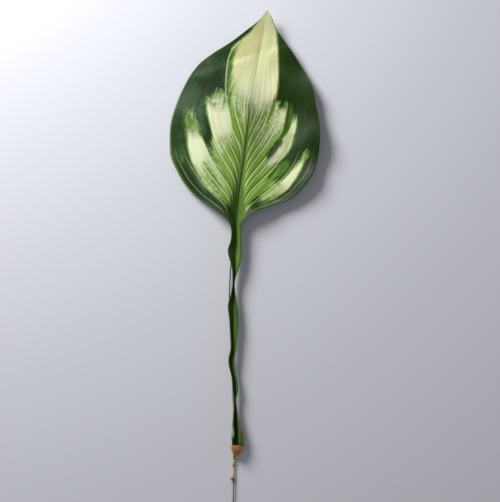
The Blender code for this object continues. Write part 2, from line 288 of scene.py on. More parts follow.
def rib_half_width(up):
    taper = RIB_HALF_WIDTH * (1 - up / (TIP - BLADE_BASE)) + RIB_TIP_HALF_WIDTH
    return taper + RIB_FOOT_EXTRA * np.exp(-up / RIB_FOOT_LENGTH)


def soft_ramp(t):
    return LEAVING_SOFTNESS * np.logaddexp(0, t / LEAVING_SOFTNESS)


def strand_share(strand, up):
    """How far out of the midrib a strand lies, 0 to 1."""
    leaving = 1 - np.clip(up / LEAVING_LENGTH, 0, 1) ** LEAVING_POWER
    low, high = soft_ramp(-leaving), soft_ramp(1 - leaving)
    return np.maximum((soft_ramp(strand - leaving) - low) / (high - low), 0) ** STRAND_POWER


def strand_offset(strand, y, side):
    """Distance of a strand from the midrib's middle."""
    reach = reach_at(y, side)
    up = np.maximum(y - BLADE_BASE, 0)
    core = np.minimum(reach, rib_half_width(up))
    in_blade = core * strand + (reach - core) * strand_share(strand, up)
    blade = ease((y - OPENING_FROM) / OPENING_LENGTH)
    return blade * in_blade + (1 - blade) * reach * strand


print("the middle strand lies", round(float(strand_offset(0.5, WIDEST, 1)), 1), "mm out at the widest place")

# %% [markdown]
# ## The leaf's heights
#
# The stalk is a gutter with a rounded V for its floor. At the blade the gutter opens out: its left half
# arches and comes down to the floor, its right half sags and turns up at the margin. The height of a
# point is the gutter's, plus a curve through the heights halfway out and at the margin.

# %% Gutter
GUTTER_ROUNDING = 0.16
GUTTER_STEEPNESS = 1.1
BLADE_GUTTER = 2.2
FOOT_GUTTER_EXTRA = 8.0
FOOT_GUTTER_LENGTH = 30.0
GUTTER_TURN = 5


def gutter_width(y, side):
    """In the stalk the gutter takes the whole width, in the blade it narrows to the midrib."""
    reach = np.maximum(reach_at(y, side), TINY)
    widest = BLADE_GUTTER + FOOT_GUTTER_EXTRA * np.exp(-(y - BLADE_BASE) / FOOT_GUTTER_LENGTH)
    return reach * (1 + (reach / widest) ** GUTTER_TURN) ** (-1 / GUTTER_TURN)


print("gutter at the widest place:", round(float(gutter_width(WIDEST, 1)), 2), "mm to a side")

# %% Fall of the blade
KEEL = [
    (0, 2.8), (60, 2.9), (140, 3.1), (197, 4.0), (225, 5.4), (247, 7.0), (275, 8.6), (305, 7.5),
    (335, 4.4), (352, 5.8), (375, 11.8),
]
RIB_THICKNESS = [
    (0, 1.9), (20, 1.6), (40, 0.9), (58, 1.4), (122, 1.6), (142, 0.9), (160, 1.6), (197, 2.0),
    (247, 1.15), (272, 0.9), (300, 0.8), (375, 0.7),
]
WALL_RISE = [
    (0, 4.4), (20, 5.0), (40, 4.6), (75, 4.2), (122, 4.4), (142, 5.6), (170, 5.0), (184, 6.0),
    (197, 5.6), (215, 4.4), (250, 1.6), (300, 0.28), (375, 0.1),
]
HALFWAY_HEIGHT = {
    -1: [(197, 12.5), (245, 12.6), (270, 12.2), (300, 10.6), (325, 8.4), (345, 7.2), (375, 12.5)],
    1: [(197, 12.0), (215, 7.0), (240, 2.6), (268, 1.05), (282, 0.93), (305, 4.2), (335, 6.2), (375, 12.5)],
}
MARGIN_HEIGHT = {
    -1: [(197, 12.5), (219, 6.0), (240, 3.4), (262, 1.9), (280, 1.6), (300, 2.8), (338, 6.5), (375, 12.5)],
    1: [(197, 12.0), (215, 9.5), (240, 11.0), (262, 12.75), (285, 12.0), (310, 9.0), (338, 7.0), (375, 12.5)],
}
HALFWAY = 0.5
WAVE_HEIGHT = 1.3
WAVE_LENGTH = {-1: 46.0, 1: 39.0}
WAVE_START = {-1: 0.6, 1: 2.4}


def blade_fall(y, side, outwards):
    """Height against the gutter's shoulder, by a curve through the halfway height and the margin."""
    wall = smooth_line(WALL_RISE, y) / math.tanh(GUTTER_STEEPNESS)
    shoulder = smooth_line(KEEL, y) + smooth_line(RIB_THICKNESS, y) + wall
    halfway = smooth_line(HALFWAY_HEIGHT[side], y) - shoulder
    margin = smooth_line(MARGIN_HEIGHT[side], y) - shoulder
    by_halfway = halfway * outwards * (1 - outwards) / (HALFWAY * (1 - HALFWAY))
    by_margin = margin * outwards * (outwards - HALFWAY) / (1 - HALFWAY)
    wave = WAVE_HEIGHT * np.sin(WAVE_START[side] + 2 * math.pi * y / WAVE_LENGTH[side]) * outwards ** 3
    return by_halfway + by_margin + wave


for side in (-1, 1):
    print("half", side, "falls by", round(float(-blade_fall(WIDEST, side, 1.0)), 1), "mm to its margin")

# %% [markdown]
# ## Veins
#
# A hosta's side veins lie in shallow grooves with the skin arching up between them, deep at the blade's
# foot and nearly flat at the tip. They are modelled and not only shaded, because they catch the low
# light. Each is given by its strand, and a cosine from one to the next gives the arch between them.

# %% Veins
VEINS = {
    -1: (0.09, 0.19, 0.28, 0.38, 0.48, 0.55, 0.62, 0.72, 0.80, 0.89, 0.955),
    1: (0.10, 0.20, 0.29, 0.38, 0.465, 0.535, 0.615, 0.67, 0.74, 0.85, 0.96),
}
VEIN_DEPTH = [(197, 0.5), (225, 0.42), (262, 0.26), (300, 0.09), (375, 0.02)]
VEIN_BEND = 0.026


def vein_lane(strand, side):
    """The lane between two veins that a strand runs in: its two veins and how far across it lies."""
    lines = np.array((0.0,) + VEINS[side] + (1.0,))
    lane = np.clip(np.searchsorted(lines, strand, side="right") - 1, 0, len(lines) - 2)
    low, high = lines[lane], lines[lane + 1]
    return low, high, (strand - low) / (high - low)


def vein_relief(strand, y, side):
    """Veins lie in shallow grooves, deeper where they are further apart."""
    low, high, across = vein_lane(strand, side)
    across = np.where(high == 1.0, across / 2, across)
    width = strand_offset(high, y, side) - strand_offset(low, y, side)
    depth = np.minimum(smooth_line(VEIN_DEPTH, y), VEIN_BEND * width * width)
    return -0.5 * depth * (1 + np.cos(2 * math.pi * across))


print("veins a side:", len(VEINS[-1]))

# %% The upper face
FLAT_REACH = 8.0
SPREAD_REACH = 38.0
SKIN_THICKNESS = 0.45
KEEL_SHARE = 0.5


def leaf_face(y, side, strand):
    """X and height of the upper face, the offset from the midrib and the wall's thickness."""
    offset = strand_offset(strand, y, side)
    reach = reach_at(y, side)
    t = offset / gutter_width(y, side)
    rounded = np.hypot(t, GUTTER_ROUNDING) - GUTTER_ROUNDING
    wall = smooth_line(WALL_RISE, y) * np.tanh(GUTTER_STEEPNESS * rounded) / math.tanh(GUTTER_STEEPNESS)
    middle = smooth_line(RIB_THICKNESS, y)
    spread = ease((reach - FLAT_REACH) / (SPREAD_REACH - FLAT_REACH))
    outwards = offset / np.maximum(reach, TINY)
    height = smooth_line(KEEL, y) + middle + wall
    height = height + spread * (blade_fall(y, side, outwards) + vein_relief(strand, y, side))
    thickness = SKIN_THICKNESS + (middle - SKIN_THICKNESS) * np.exp(-((t / KEEL_SHARE) ** 2))
    return smooth_line(MIDRIB_COURSE, y) + side * offset, height, offset, thickness


print("height of the midrib's top at the widest place:", round(float(leaf_face(WIDEST, 1, 0.0)[1]), 1), "mm")

# %% [markdown]
# ## Rows and columns
#
# A grid is the natural mesh for a leaf whose strands never cross: a column for each strand, with six to
# each lane so that every vein has a column of its own, and in the blade a row every 0.8 mm or so. The
# rows crowd at the blade's base and tip, where the outline turns fastest.

# %% Grid of the leaf
LANE_COLUMNS = 6
STALK_ROWS = 76
BLADE_ROWS = 226
ROW_CROWDING = 0.5


def row_places():
    stalk = PETIOLE_START + (BLADE_BASE - PETIOLE_START) * np.arange(STALK_ROWS) / STALK_ROWS
    t = np.arange(BLADE_ROWS + 1) / BLADE_ROWS
    t = t - ROW_CROWDING * np.sin(2 * math.pi * t) / (2 * math.pi)
    return np.concatenate((stalk, BLADE_BASE + (TIP - BLADE_BASE) * t))


def strand_places(side):
    """Strands of one half's columns, from the midrib outwards."""
    lines = (0.0,) + VEINS[side] + (1.0,)
    shares = np.arange(LANE_COLUMNS) / LANE_COLUMNS
    lanes = [low + (high - low) * shares for low, high in zip(lines, lines[1:])]
    return np.concatenate(lanes + [[1.0]])


rows = row_places()
strands = {side: strand_places(side) for side in (-1, 1)}
print(len(rows), "rows,", 2 * len(strands[1]) - 1, "columns")

# %% [markdown]
# ## Buckles
#
# A drying leaf is never smooth between its veins. Slow noise moves the skin by some tenths of a
# millimetre, and one crease crosses the tip. Both fade out where the leaf touches the floor and where it
# is highest, so that it neither sinks in nor grows past its solid.

# %% Buckles and the crease
BUCKLE_HEIGHT = 0.34
BUCKLE_SIZE = 17.0
BUCKLE_STRETCH = 1.6
BUCKLE_LAYER = 4.7
BUCKLE_NOISE = (1.0, 2.2, 3)  # how fast finer noise weakens, how much finer each is, how many there are
CREASE_FROM = (0.0, 331.5)
CREASE_TO = (34.0, 342.0)
CREASE_STEP = 0.42
CREASE_WIDTH = 2.2
CREASE_FADE = 13.0


def buckle(x, y):
    """Slow noise, finer across the strands than along them."""
    place = Vector((x / BUCKLE_SIZE, y / (BUCKLE_STRETCH * BUCKLE_SIZE), BUCKLE_LAYER))
    return BUCKLE_HEIGHT * noise.fractal(place, *BUCKLE_NOISE)


def crease(x, y):
    """A fold across the tip: a small step down, which levels out again on both sides."""
    run = np.array(CREASE_TO) - np.array(CREASE_FROM)
    normal = np.array((-run[1], run[0])) / np.hypot(*run)
    beyond = (x - CREASE_FROM[0]) * normal[0] + (y - CREASE_FROM[1]) * normal[1]
    return -CREASE_STEP * np.tanh(beyond / CREASE_WIDTH) * np.exp(-((beyond / CREASE_FADE) ** 2))


print("the crease steps by", 2 * CREASE_STEP, "mm")

# %% Both halves as arrays
FLOOR_CLEARANCE = 0.9
HIGHEST = 14.0
HEAD_ROOM = 1.6
STIFF_RIB = 2.5
STIFF_RIB_FADE = 8.0
STIFF_FOOT = BLADE_BASE + 4.0
STIFF_FOOT_FADE = 20.0


def half_leaf(side):
    """All points of one half: arrays of rows by strands."""
    y, strand = np.meshgrid(rows, strands[side], indexing="ij")
    x, height, offset, thickness = leaf_face(y, side, strand)
    moved = np.vectorize(buckle)(x, y) + crease(x, y)
    soft = ease((offset - STIFF_RIB) / STIFF_RIB_FADE) * ease((y - STIFF_FOOT) / STIFF_FOOT_FADE)
    free = ease((height - thickness) / FLOOR_CLEARANCE) * ease((HIGHEST - height) / HEAD_ROOM)
    height = height + moved * soft * free
    return {"x": x, "y": y, "z": height, "offset": offset, "thickness": thickness, "strand": side * strand}


halves = {side: half_leaf(side) for side in (-1, 1)}
for side, half in halves.items():
    print("half", side, "lowest underside", round(float((half["z"] - half["thickness"]).min()), 3), "mm")

# %% [markdown]
# ## Where the flames lie
#
# The variegation is the leaf's whole charm. It could be painted on an image, but an image stretches and
# can't be reused at another size. Here each cream flame is a closed outline in millimetres, drawn on
# the flat leaf. Every point of the mesh stores how deep it lies inside the nearest outline (or how far
# outside, below zero), and the shader then draws the edge itself, as fine as the render asks. The
# greens, the mottled ends of the flames, and the patches of painted shade and painted reflection are
# drawn in the same way.

# %% Outlines of the flames
TIP_FLAME = [
    (27.6, 375.4), (22.4, 369.8), (17.8, 363.5), (13.1, 356.9), (4.6, 349.7), (1.2, 345.7), (-0.8, 337.9),
    (-2.8, 328.6), (-3.6, 316.7), (-3.4, 304.1), (-2.6, 295.5), (0.7, 289.8), (4.6, 293.6), (7.8, 288.4),
    (12.1, 294.5), (14.2, 296.3), (17.8, 288.9), (23, 286.2), (27.9, 289.9), (32, 297.5), (34.9, 306.4),
    (36.2, 316.7), (36.2, 332.5), (35.5, 345.7), (34.2, 356.3), (31.5, 365.5),
]
LEFT_INNER_FLAME = [
    (-23.9, 298), (-21.6, 295.5), (-19.8, 299.4), (-16.8, 301.4), (-14.7, 298.6), (-11.6, 301.5),
    (-8.6, 298.8), (-6.9, 293.1), (-5.2, 286.2), (-3.8, 279.7), (-3.4, 271.8), (-4.4, 264.6), (-7.6, 259),
    (-11.8, 254), (-15.6, 256.3), (-19, 266.1), (-22.2, 278.7), (-24.5, 290.2),
]
LEFT_OUTER_FLAME = [
    (-42.2, 281.5), (-39.4, 273.5), (-37.6, 277), (-34.4, 275.5), (-31.9, 269), (-28.4, 263.9),
    (-23.2, 253.3), (-19, 245.7), (-17.2, 240.5), (-20.7, 237.9), (-25.9, 240.5), (-28.5, 236),
    (-27, 230.5), (-21.5, 222.5), (-17.7, 217), (-26.7, 226.1), (-34.2, 237.5), (-38.4, 247.4),
    (-40.4, 256), (-41.3, 264.6), (-41.7, 275),
]
RIGHT_FLAMES = [
    [(36.2, 295.2), (33.2, 284.5), (29.7, 278), (24.1, 272.4), (22.8, 275), (27.6, 281.9), (31.9, 288.8)],
    [
        (41.5, 290.2), (43.3, 292), (42.2, 282.4), (37.5, 272.4), (27.6, 267.2), (26.3, 269.8),
        (30.9, 275.8), (37.5, 288.9),
    ],
    [
        (50.8, 281.4), (51.7, 275.8), (48.8, 266.5), (46.1, 256.9), (40.2, 249.4), (34.5, 244.4),
        (26.7, 243.9), (30.9, 251.5), (37.5, 261.2), (44.1, 269.1), (48.8, 279.7),
    ],
    [
        (59, 248.7), (57.6, 244.1), (54.4, 236.9), (49, 228.3), (43.1, 221.2), (37.1, 218.1), (26.7, 214.6),
        (24.1, 215.9), (31.9, 221.5), (37.1, 226.3), (43.3, 232.7), (49.6, 239.1), (55, 244.6),
    ],
]
FLAMES = [TIP_FLAME, LEFT_INNER_FLAME, LEFT_OUTER_FLAME] + RIGHT_FLAMES
print("flames:", len(FLAMES))

# %% Outlines of the greens, and of painted shade at the blade's foot
HEART = [
    (-1.7, 200.8), (-10.3, 210.3), (-18.1, 217.2), (-26.7, 225.8), (-33.6, 237), (-37.1, 247.4),
    (-26.7, 243.1), (-19.8, 254.3), (-20.7, 264.6), (-12.1, 281.9), (-6.9, 292.2), (-4.3, 307.7),
    (-2.6, 323.2), (6, 323.2), (19, 300.8), (28, 297), (33, 295), (38, 289), (41, 284), (40, 275),
    (38.8, 270.7), (31.9, 260.3), (25.9, 251.7), (30.2, 243.9), (35.5, 243), (36, 236), (33, 231),
    (34, 227), (37.9, 226.7), (41.4, 221.5), (35.3, 214.6), (25.9, 212.1), (19.8, 215.5), (15.5, 212.1),
    (10.3, 205.2), (6, 197.4),
]
BRIGHT_PATCHES = [
    [
        (5.2, 350), (0, 345.7), (-4.7, 337.9), (-6.9, 328.4), (-8.2, 316.4), (-8.2, 306), (-7.3, 296.5),
        (-5.2, 285.3), (-2.6, 275), (0, 269.8), (0, 280.1), (-2.2, 292.2), (-3, 306), (-3, 318.1),
        (-2.6, 330.1), (0, 338.8), (4.3, 345.7),
    ],
    [
        (47.4, 295.7), (48.7, 288.8), (46.5, 278.4), (41.4, 268.1), (37.1, 262), (35.3, 262.9),
        (39.7, 270.7), (44, 280.1), (45.7, 288.8),
    ],
    [
        (44.8, 247.4), (45.7, 241.4), (41.4, 235.3), (35.3, 230.9), (27.5, 227), (25, 230), (30, 237.5),
        (35.1, 242.8), (41.4, 246.8),
    ],
    [(22.4, 221.5), (29.3, 225), (31, 219.8), (22.4, 213.8), (15.5, 210.3), (17.2, 215.5)],
    [(-43.5, 291), (-40, 284), (-38, 283), (-33, 281.5), (-32, 274), (-36, 270), (-43, 272)],
    [(-46.9, 250.5), (-45.6, 251), (-45, 247.5), (-46, 245.6)],
    [(61.3, 253.6), (60.6, 249), (58.2, 243.5), (55.6, 243.9), (58.3, 248.9)],
    [(-43.6, 273), (-42.9, 262), (-41, 250), (-37.8, 241.5), (-38.8, 251), (-41, 262), (-41.6, 273)],
]
# Dark green between the flames; the last patch, left of the midrib at the blade's foot, is painted shade.
DARK_GREEN_AND_SHADE_PATCHES = [
    [(38.4, 264.6), (34.9, 259.5), (29.7, 252.6), (27.6, 248.7), (31, 250.8), (35.8, 256.9), (39.7, 262)],
    [(35, 243), (31.5, 240), (28.5, 234.5), (28.9, 232), (32.5, 236.5), (36, 241)],
    [(36.2, 354.3), (37.5, 333.6), (37.9, 303.4), (41.4, 301.7), (41.4, 333.6), (38.8, 352.6)],
    [
        (-26.7, 213.8), (-19, 209.5), (-10.3, 200.8), (-4.3, 190.5), (-3.4, 202.6), (-8.6, 208.6),
        (-17.2, 215.5), (-23.3, 219.8),
    ],
]
DEEP_PATCHES = [
    [(-34, 316), (-22, 326), (-13, 330), (-10, 318), (-10, 306), (-17, 303), (-25, 302), (-31, 306)],
]
print("patches of other greens:", len(BRIGHT_PATCHES) + len(DARK_GREEN_AND_SHADE_PATCHES) + len(DEEP_PATCHES))

# %% Outlines of the mottled places, of painted shade and of painted reflections
MOTTLED_PATCHES = [
    [
        (-4.5, 325), (-1, 320), (5.5, 306), (12.5, 298), (20, 291), (26, 287), (22, 280), (10, 277),
        (1, 280), (-5, 291), (-7, 310),
    ],
    [(-23, 298), (-15, 300), (-8, 302), (-6.5, 294), (-12, 288.5), (-20, 289.5), (-23.5, 294)],
    [(-17, 266), (-4, 270), (-1.5, 262), (-8, 254), (-16, 255)],
    [(-44, 290), (-38, 290), (-31, 273), (-33, 266), (-41, 268), (-44, 278)],
    [
        (-37, 243), (-28, 243), (-20, 262), (-14, 252), (-10, 240), (-9, 222), (-14, 214), (-24, 220),
        (-33, 232),
    ],
    [(22, 296), (33, 297), (37, 292), (40, 278), (34, 266), (26, 258), (18, 262), (14, 275), (17, 288)],
    [(49, 268), (45, 256), (36, 246), (28, 243), (30, 250), (38, 261), (44, 270)],
    [(20, 222), (36, 229), (42, 224), (36, 216), (24, 211)],
]
# Painted shade on the cream beyond the tip's crease, where the tip turns up and away from the lamp.
TIP_SHADE_PATCHES = [
    [
        (21.5, 368.2), (12.1, 359.5), (3.4, 350.8), (0, 342.2), (0, 333.6), (12.1, 337), (21.4, 340),
        (24.4, 344.9), (24.6, 356), (23.8, 366.4),
    ],
]
# Painted reflection: lighter grey-green where lamp and sky would be mirrored in the dark green.
PAINTED_SHEEN_PATCHES = [
    [(48, 272), (55, 272.5), (61, 273), (58, 264), (52, 258), (47, 260)],
    [(-35, 291), (-30, 292), (-26, 278), (-27, 268), (-31, 274)],
    [(-38, 327), (-26, 334), (-18, 325), (-23, 318), (-33, 318)],
    [(-45, 219), (-36, 216), (-26, 205), (-33, 203), (-42, 210)],
    [(20, 211), (36, 212), (52, 220), (57, 225), (60, 218), (44, 209), (26, 205)],
]
PALE_LINES = [
    [
        (3.4, 349.1), (-3.4, 342.2), (-6.5, 333.6), (-7.8, 325), (-8.8, 312), (-8.6, 303.4), (-7.3, 294.8),
        (-5.6, 283.6), (-3.4, 273.3), (0, 266.4), (4.3, 257.7), (6.5, 252.6),
    ],
]
print("mottled places:", len(MOTTLED_PATCHES))

# %% Distance to a line, depth inside an outline
LOOP_STEPS = 5


def rounded_loop(points):
    """A closed smooth line through the points, as arrays, a few steps to each stretch."""
    start = np.array(points)
    end = np.roll(start, -1, 0)
    leaving = (end - np.roll(start, 1, 0)) / 2
    arriving = np.roll(leaving, -1, 0)
    start, end, leaving, arriving = (a[:, None] for a in (start, end, leaving, arriving))
    t = (np.arange(LOOP_STEPS) / LOOP_STEPS)[None, :, None]
    curve = (1 + 2 * t) * (1 - t) ** 2 * start + t * (1 - t) ** 2 * leaving
    curve = curve + t * t * (3 - 2 * t) * end + t * t * (t - 1) * arriving
    return curve.reshape(-1, 2)


def distance_to(line, x, y):
    """Distance to the nearest stretch of an open line."""
    nearest = np.full(x.shape, np.inf)
    for (ax, ay), (bx, by) in zip(line, line[1:]):
        dx, dy = bx - ax, by - ay
        t = np.clip(((x - ax) * dx + (y - ay) * dy) / (dx * dx + dy * dy), 0, 1)
        nearest = np.minimum(nearest, np.hypot(x - ax - t * dx, y - ay - t * dy))
    return nearest


def depth_inside(loop, x, y):
    """How deep each point lies inside the loop, negative outside it."""
    closed = np.concatenate((loop, loop[:1]))
    crossings = np.zeros(x.shape, dtype=int)
    for (ax, ay), (bx, by) in zip(closed, closed[1:]):
        if ay != by:
            spans = (ay > y) != (by > y)
            crossings += spans & (x < ax + (y - ay) * (bx - ax) / (by - ay))
    nearest = distance_to(closed, x, y)
    return np.where(crossings % 2 == 1, nearest, -nearest)


def deepest(outlines, x, y):
    return np.max([depth_inside(rounded_loop(outline), x, y) for outline in outlines], axis=0)


OUTLINES = {
    "cream": FLAMES, "heart": [HEART], "bright": BRIGHT_PATCHES, "dark": DARK_GREEN_AND_SHADE_PATCHES, "deep": DEEP_PATCHES,
    "dull": TIP_SHADE_PATCHES, "mottled": MOTTLED_PATCHES, "sheen": PAINTED_SHEEN_PATCHES,
}
for half in halves.values():
    for name, outlines in OUTLINES.items():
        half[name] = deepest(outlines, half["x"], half["y"])
    half["pale_line"] = np.min([distance_to(line, half["x"], half["y"]) for line in PALE_LINES], axis=0)
    print("deepest cream", round(float(half["cream"].max()), 1), "mm")

# %% [markdown]
# ## How ragged an edge is
#
# A flame's long sides follow a strand and are nearly clean, but where it ends it breaks up into
# streaks. So the raggedness is worked out and not drawn: the faster the depth changes along a strand,
# the more the edge crosses the strands there, and the further the streaks may carry it.

# %% Raggedness
CLEAN = 0.6
TORN = 5.5
TORN_POWER = 1.5


def along_strands(values, half):
    """How fast values change along the strands, per millimetre of strand."""
    length = np.hypot(np.gradient(half["x"], axis=0), np.gradient(half["y"], axis=0))
    return np.gradient(values, axis=0) / length


for side, half in halves.items():
    crossing = np.clip(np.abs(along_strands(half["cream"], half)), 0, 1) ** TORN_POWER
    half["ragged"] = CLEAN + TORN * crossing
    print("half", side, "most ragged", round(float(half["ragged"].max()), 1), "mm")

# %% Distance to the veins and the midrib
VEIN_TONES = {
    -1: (0.3, 0.3, 0.3, 0.3, 0.3, 0.3, 0.35, 0.4, 0.45, 0.45, 0.3),
    1: (0.3, 0.3, 0.3, 0.3, 0.3, 0.3, 0.3, 0.35, 0.4, 0.4, 0.18),
}


def vein_distance(half, side):
    """Distance to the nearest vein, square to it, and that vein's tone in the dark green."""
    strand = np.abs(half["strand"])
    slant = np.gradient(half["x"], axis=0) / np.gradient(half["y"], axis=0)
    square = 1 / np.hypot(1, slant)
    nearest = np.full(strand.shape, np.inf)
    tone = np.zeros(strand.shape)
    for vein, vein_tone in zip(VEINS[side], VEIN_TONES[side]):
        away = np.abs(half["offset"] - strand_offset(vein, half["y"], side)) * square
        tone = np.where(away < nearest, vein_tone, tone)
        nearest = np.minimum(nearest, away)
    return nearest, tone


for side, half in halves.items():
    half["vein"], half["tone"] = vein_distance(half, side)
    half["aside"] = side * half["offset"]
    core = rib_half_width(np.maximum(half["y"] - BLADE_BASE, 0))
    half["rib"] = half["offset"] / np.minimum(core, np.maximum(reach_at(half["y"], side), TINY))
    print("half", side, "farthest from a vein", round(float(half["vein"].max()), 1), "mm")

# %% [markdown]
# ## The leaf's mesh
#
# A grid operator lays the columns and rows out flat, and each point then moves to its place. The values
# worked out above go with it as attributes. Solidify gives the skin its thickness, thick at the midrib
# and thin in the blade, and once it is applied the far face is marked so that it can be paler.

# %% Leaf
COLUMNS = len(strands[1]) - 1
# Where a point lies, how deep in each kind of outline, how torn an edge is there, and how far it is from
# the nearest vein (with that vein's tone) and from the midrib, in half widths of it and in millimetres.
ATTRIBUTES = ("strand", "y", *OUTLINES, "pale_line", "ragged", "vein", "tone", "rib", "aside")
THICKEST = max(half["thickness"].max() for half in halves.values())


def move_to_place(bm):
    """Each point of a flat grid goes to its place on the leaf and takes its values with it."""
    layers = {name: bm.verts.layers.float.new(name) for name in ATTRIBUTES}
    wall = bm.verts.layers.deform.verify()
    for v in bm.verts:
        column = round(v.co.x * COLUMNS)
        row = round((v.co.y + 1) / 2 * (len(rows) - 1))
        half = halves[-1 if column < 0 else 1]
        at = (row, abs(column))
        for name, layer in layers.items():
            v[layer] = half[name][at]
        v[wall][0] = half["thickness"][at] / THICKEST
        v.co = placed(half["x"][at], half["y"][at], half["z"][at])


bm = bmesh.new()
bmesh.ops.create_grid(bm, x_segments=2 * COLUMNS, y_segments=len(rows) - 1, size=1.0)
move_to_place(bm)
tip = [v for v in bm.verts if v.co.y > placed(0, TIP, 0).y - 1e-7]
bmesh.ops.remove_doubles(bm, verts=tip, dist=0.01 * MM)
leaf = add_piece("leaf_skin", bm)
print("upper face:", len(leaf.data.vertices), "points")

# %% Thickness of the leaf


def give_thickness(leaf):
    """Solidify by the stored thickness. Points that the modifier adds are marked as underside."""
    leaf.vertex_groups.new(name="wall")
    solid = leaf.modifiers.new("wall", "SOLIDIFY")
    solid.thickness = THICKEST * MM
    solid.offset = -1
    solid.vertex_group = "wall"
    upper = len(leaf.data.vertices)
    mesh = apply_modifiers(leaf)
    under = mesh.attributes.new("under", "FLOAT", "POINT")
    under.data.foreach_set("value", (np.arange(len(mesh.vertices)) >= upper).astype(float))


give_thickness(leaf)
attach(leaf, "root")
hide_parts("leaf")
print("leaf:", sum(len(face.vertices) - 2 for face in leaf.data.polygons), "triangles")

# %% [markdown]
# ## A notation for finishes
#
# A finish is a network of small steps: take a number that changes over the surface, stretch it, mix two
# colours by it. Wiring such a network by hand takes a page, so a number is wrapped in a class on which
# plus, minus and times work as in arithmetic, and one method adds any other node.

# %% Numbers


class Number:
    """A number that changes over the surface. Arithmetic on it adds Math nodes to its finish."""

    def __init__(self, finish, socket):
        self.finish = finish
        self.socket = socket

    def maths(self, operation, *values):
        return self.finish.node("ShaderNodeMath", {"operation": operation}, dict(enumerate(values)))

    def __add__(self, other):
        return self.maths("ADD", self, other)

    def __radd__(self, other):
        return self.maths("ADD", other, self)

    def __sub__(self, other):
        return self.maths("SUBTRACT", self, other)

    def __rsub__(self, other):
        return self.maths("SUBTRACT", other, self)

    def __mul__(self, other):
        return self.maths("MULTIPLY", self, other)

    def __truediv__(self, other):
        return self.maths("DIVIDE", self, other)

    def __abs__(self):
        return self.maths("ABSOLUTE", self)

    def most(self, other):
        return self.maths("MAXIMUM", self, other)

    def least(self, other):
        return self.maths("MINIMUM", self, other)

    def between(self, low, high):
        """0 at low and 1 at high, smooth in between. Low above high turns it round."""
        return self.finish.node(
            "ShaderNodeMapRange", {"interpolation_type": "SMOOTHSTEP"},
            {"Value": self, "From Min": low, "From Max": high},
        )


print("a number also has:", ", ".join(name for name in vars(Number) if name[0] != "_"))

# %% Finishes


class Finish:
    """A material that is being mixed, with a Principled shader at its end."""

    def __init__(self, name):
        self.material = bpy.data.materials.new(name)
        self.material.use_nodes = True
        self.tree = self.material.node_tree
        self.shader = self.tree.nodes["Principled BSDF"]

    def join(self, socket, value):
        if isinstance(value, Number):
            self.tree.links.new(value.socket, socket)
        else:
            socket.default_value = value

    def node(self, kind, settings=None, values=None, output=0):
        """Adds a node: its settings first, then the values or links of its sockets."""
        node = self.tree.nodes.new(kind)
        for name, value in (settings or {}).items():
            setattr(node, name, value)
        for name, value in (values or {}).items():
            self.join(node.inputs[name], value)
        return Number(self, node.outputs[output])

    def attribute(self, name):
        return self.node("ShaderNodeAttribute", {"attribute_name": name}, output="Fac")

    def vector(self, x, y, z):
        return self.node("ShaderNodeCombineXYZ", values={"X": x, "Y": y, "Z": z})

    def place(self):
        return self.node("ShaderNodeTexCoord", output="Object")

    def along(self, place):
        """The place along the leaf, in metres of the frame."""
        return self.node("ShaderNodeSeparateXYZ", values={"Vector": place}, output="Y")

    def cloud(self, vector, scale, detail, roughness=0.5):
        """Soft noise, 0 to 1, mostly near a half."""
        values = {"Vector": vector, "Scale": scale, "Detail": detail, "Roughness": roughness}
        return self.node("ShaderNodeTexNoise", values=values)

    def mix(self, share, first, second):
        """Two colours mixed by a share: none of the second at 0, all of it at 1."""
        settings = {"data_type": "RGBA"}
        return self.node("ShaderNodeMix", settings, {0: share, 6: first, 7: second}, output=2)

    def bump(self, height, distance):
        """Surface relief at half strength, which suits skin, enamel and glue alike."""
        values = {"Height": height, "Distance": distance, "Strength": 0.5}
        return self.node("ShaderNodeBump", values=values)

    def set(self, **sockets):
        for name, value in sockets.items():
            self.join(self.shader.inputs[name.replace("_", " ")], value)
        return self.material


print("a finish can:", ", ".join(name for name in vars(Finish) if name[0] != "_"))

# %% Colours


def colour(red, green, blue):
    """A screen colour, 0 to 255, as the linear colour that a shader works with."""
    parts = [c / 255 for c in (red, green, blue)]
    return (*[p / 12.92 if p <= 0.04045 else ((p + 0.055) / 1.055) ** 2.4 for p in parts], 1.0)


print("a mid grey is", [round(c, 3) for c in colour(128, 128, 128)])

# %% [markdown]
# ## The leaf's finish: streaks and torn edges
#
# All patterns read the strand and the place along the leaf, so they run with the veins and fan out as
# they do. A streak is plain noise, squeezed across the strands and drawn out along them. An outline's
# edge is torn by adding such streaks to the depth inside it, before the depth becomes a share.

# %% Streaks
# How many to a half of the leaf, their length in millimetres, then the noise: layer, detail, roughness.
STREAKS = {
    "threads": (58, 20, 0.0, 3.0, 0.6),
    "ribbons": (21, 34, 3.0, 1.0, 0.5),
    "fibres": (260, 9, 7.0, 2.0, 0.5),
    "flecks": (50, 13, 11.0, 2.0, 0.6),
    "stripes": (9, 15, 5.0, 3.0, 0.6),
    "ripples": (5, 2.2, 13.0, 2.0, 0.5),
}
# How strongly a patch's edge is torn, and the depths at which it starts and is full.
TORN_EDGES = {
    "mottled": (2.0, -3.5, 5.0), "heart": (2.5, -1.8, 1.8), "bright": (1.8, -1.8, 3.2),
    "dark": (1.6, -1.4, 1.0), "deep": (3.0, -5.0, 6.0), "sheen": (1.2, -3.0, 2.5),
}
MOTTLE_SCALE = 330.0
PATCH_SCALE = 42.0


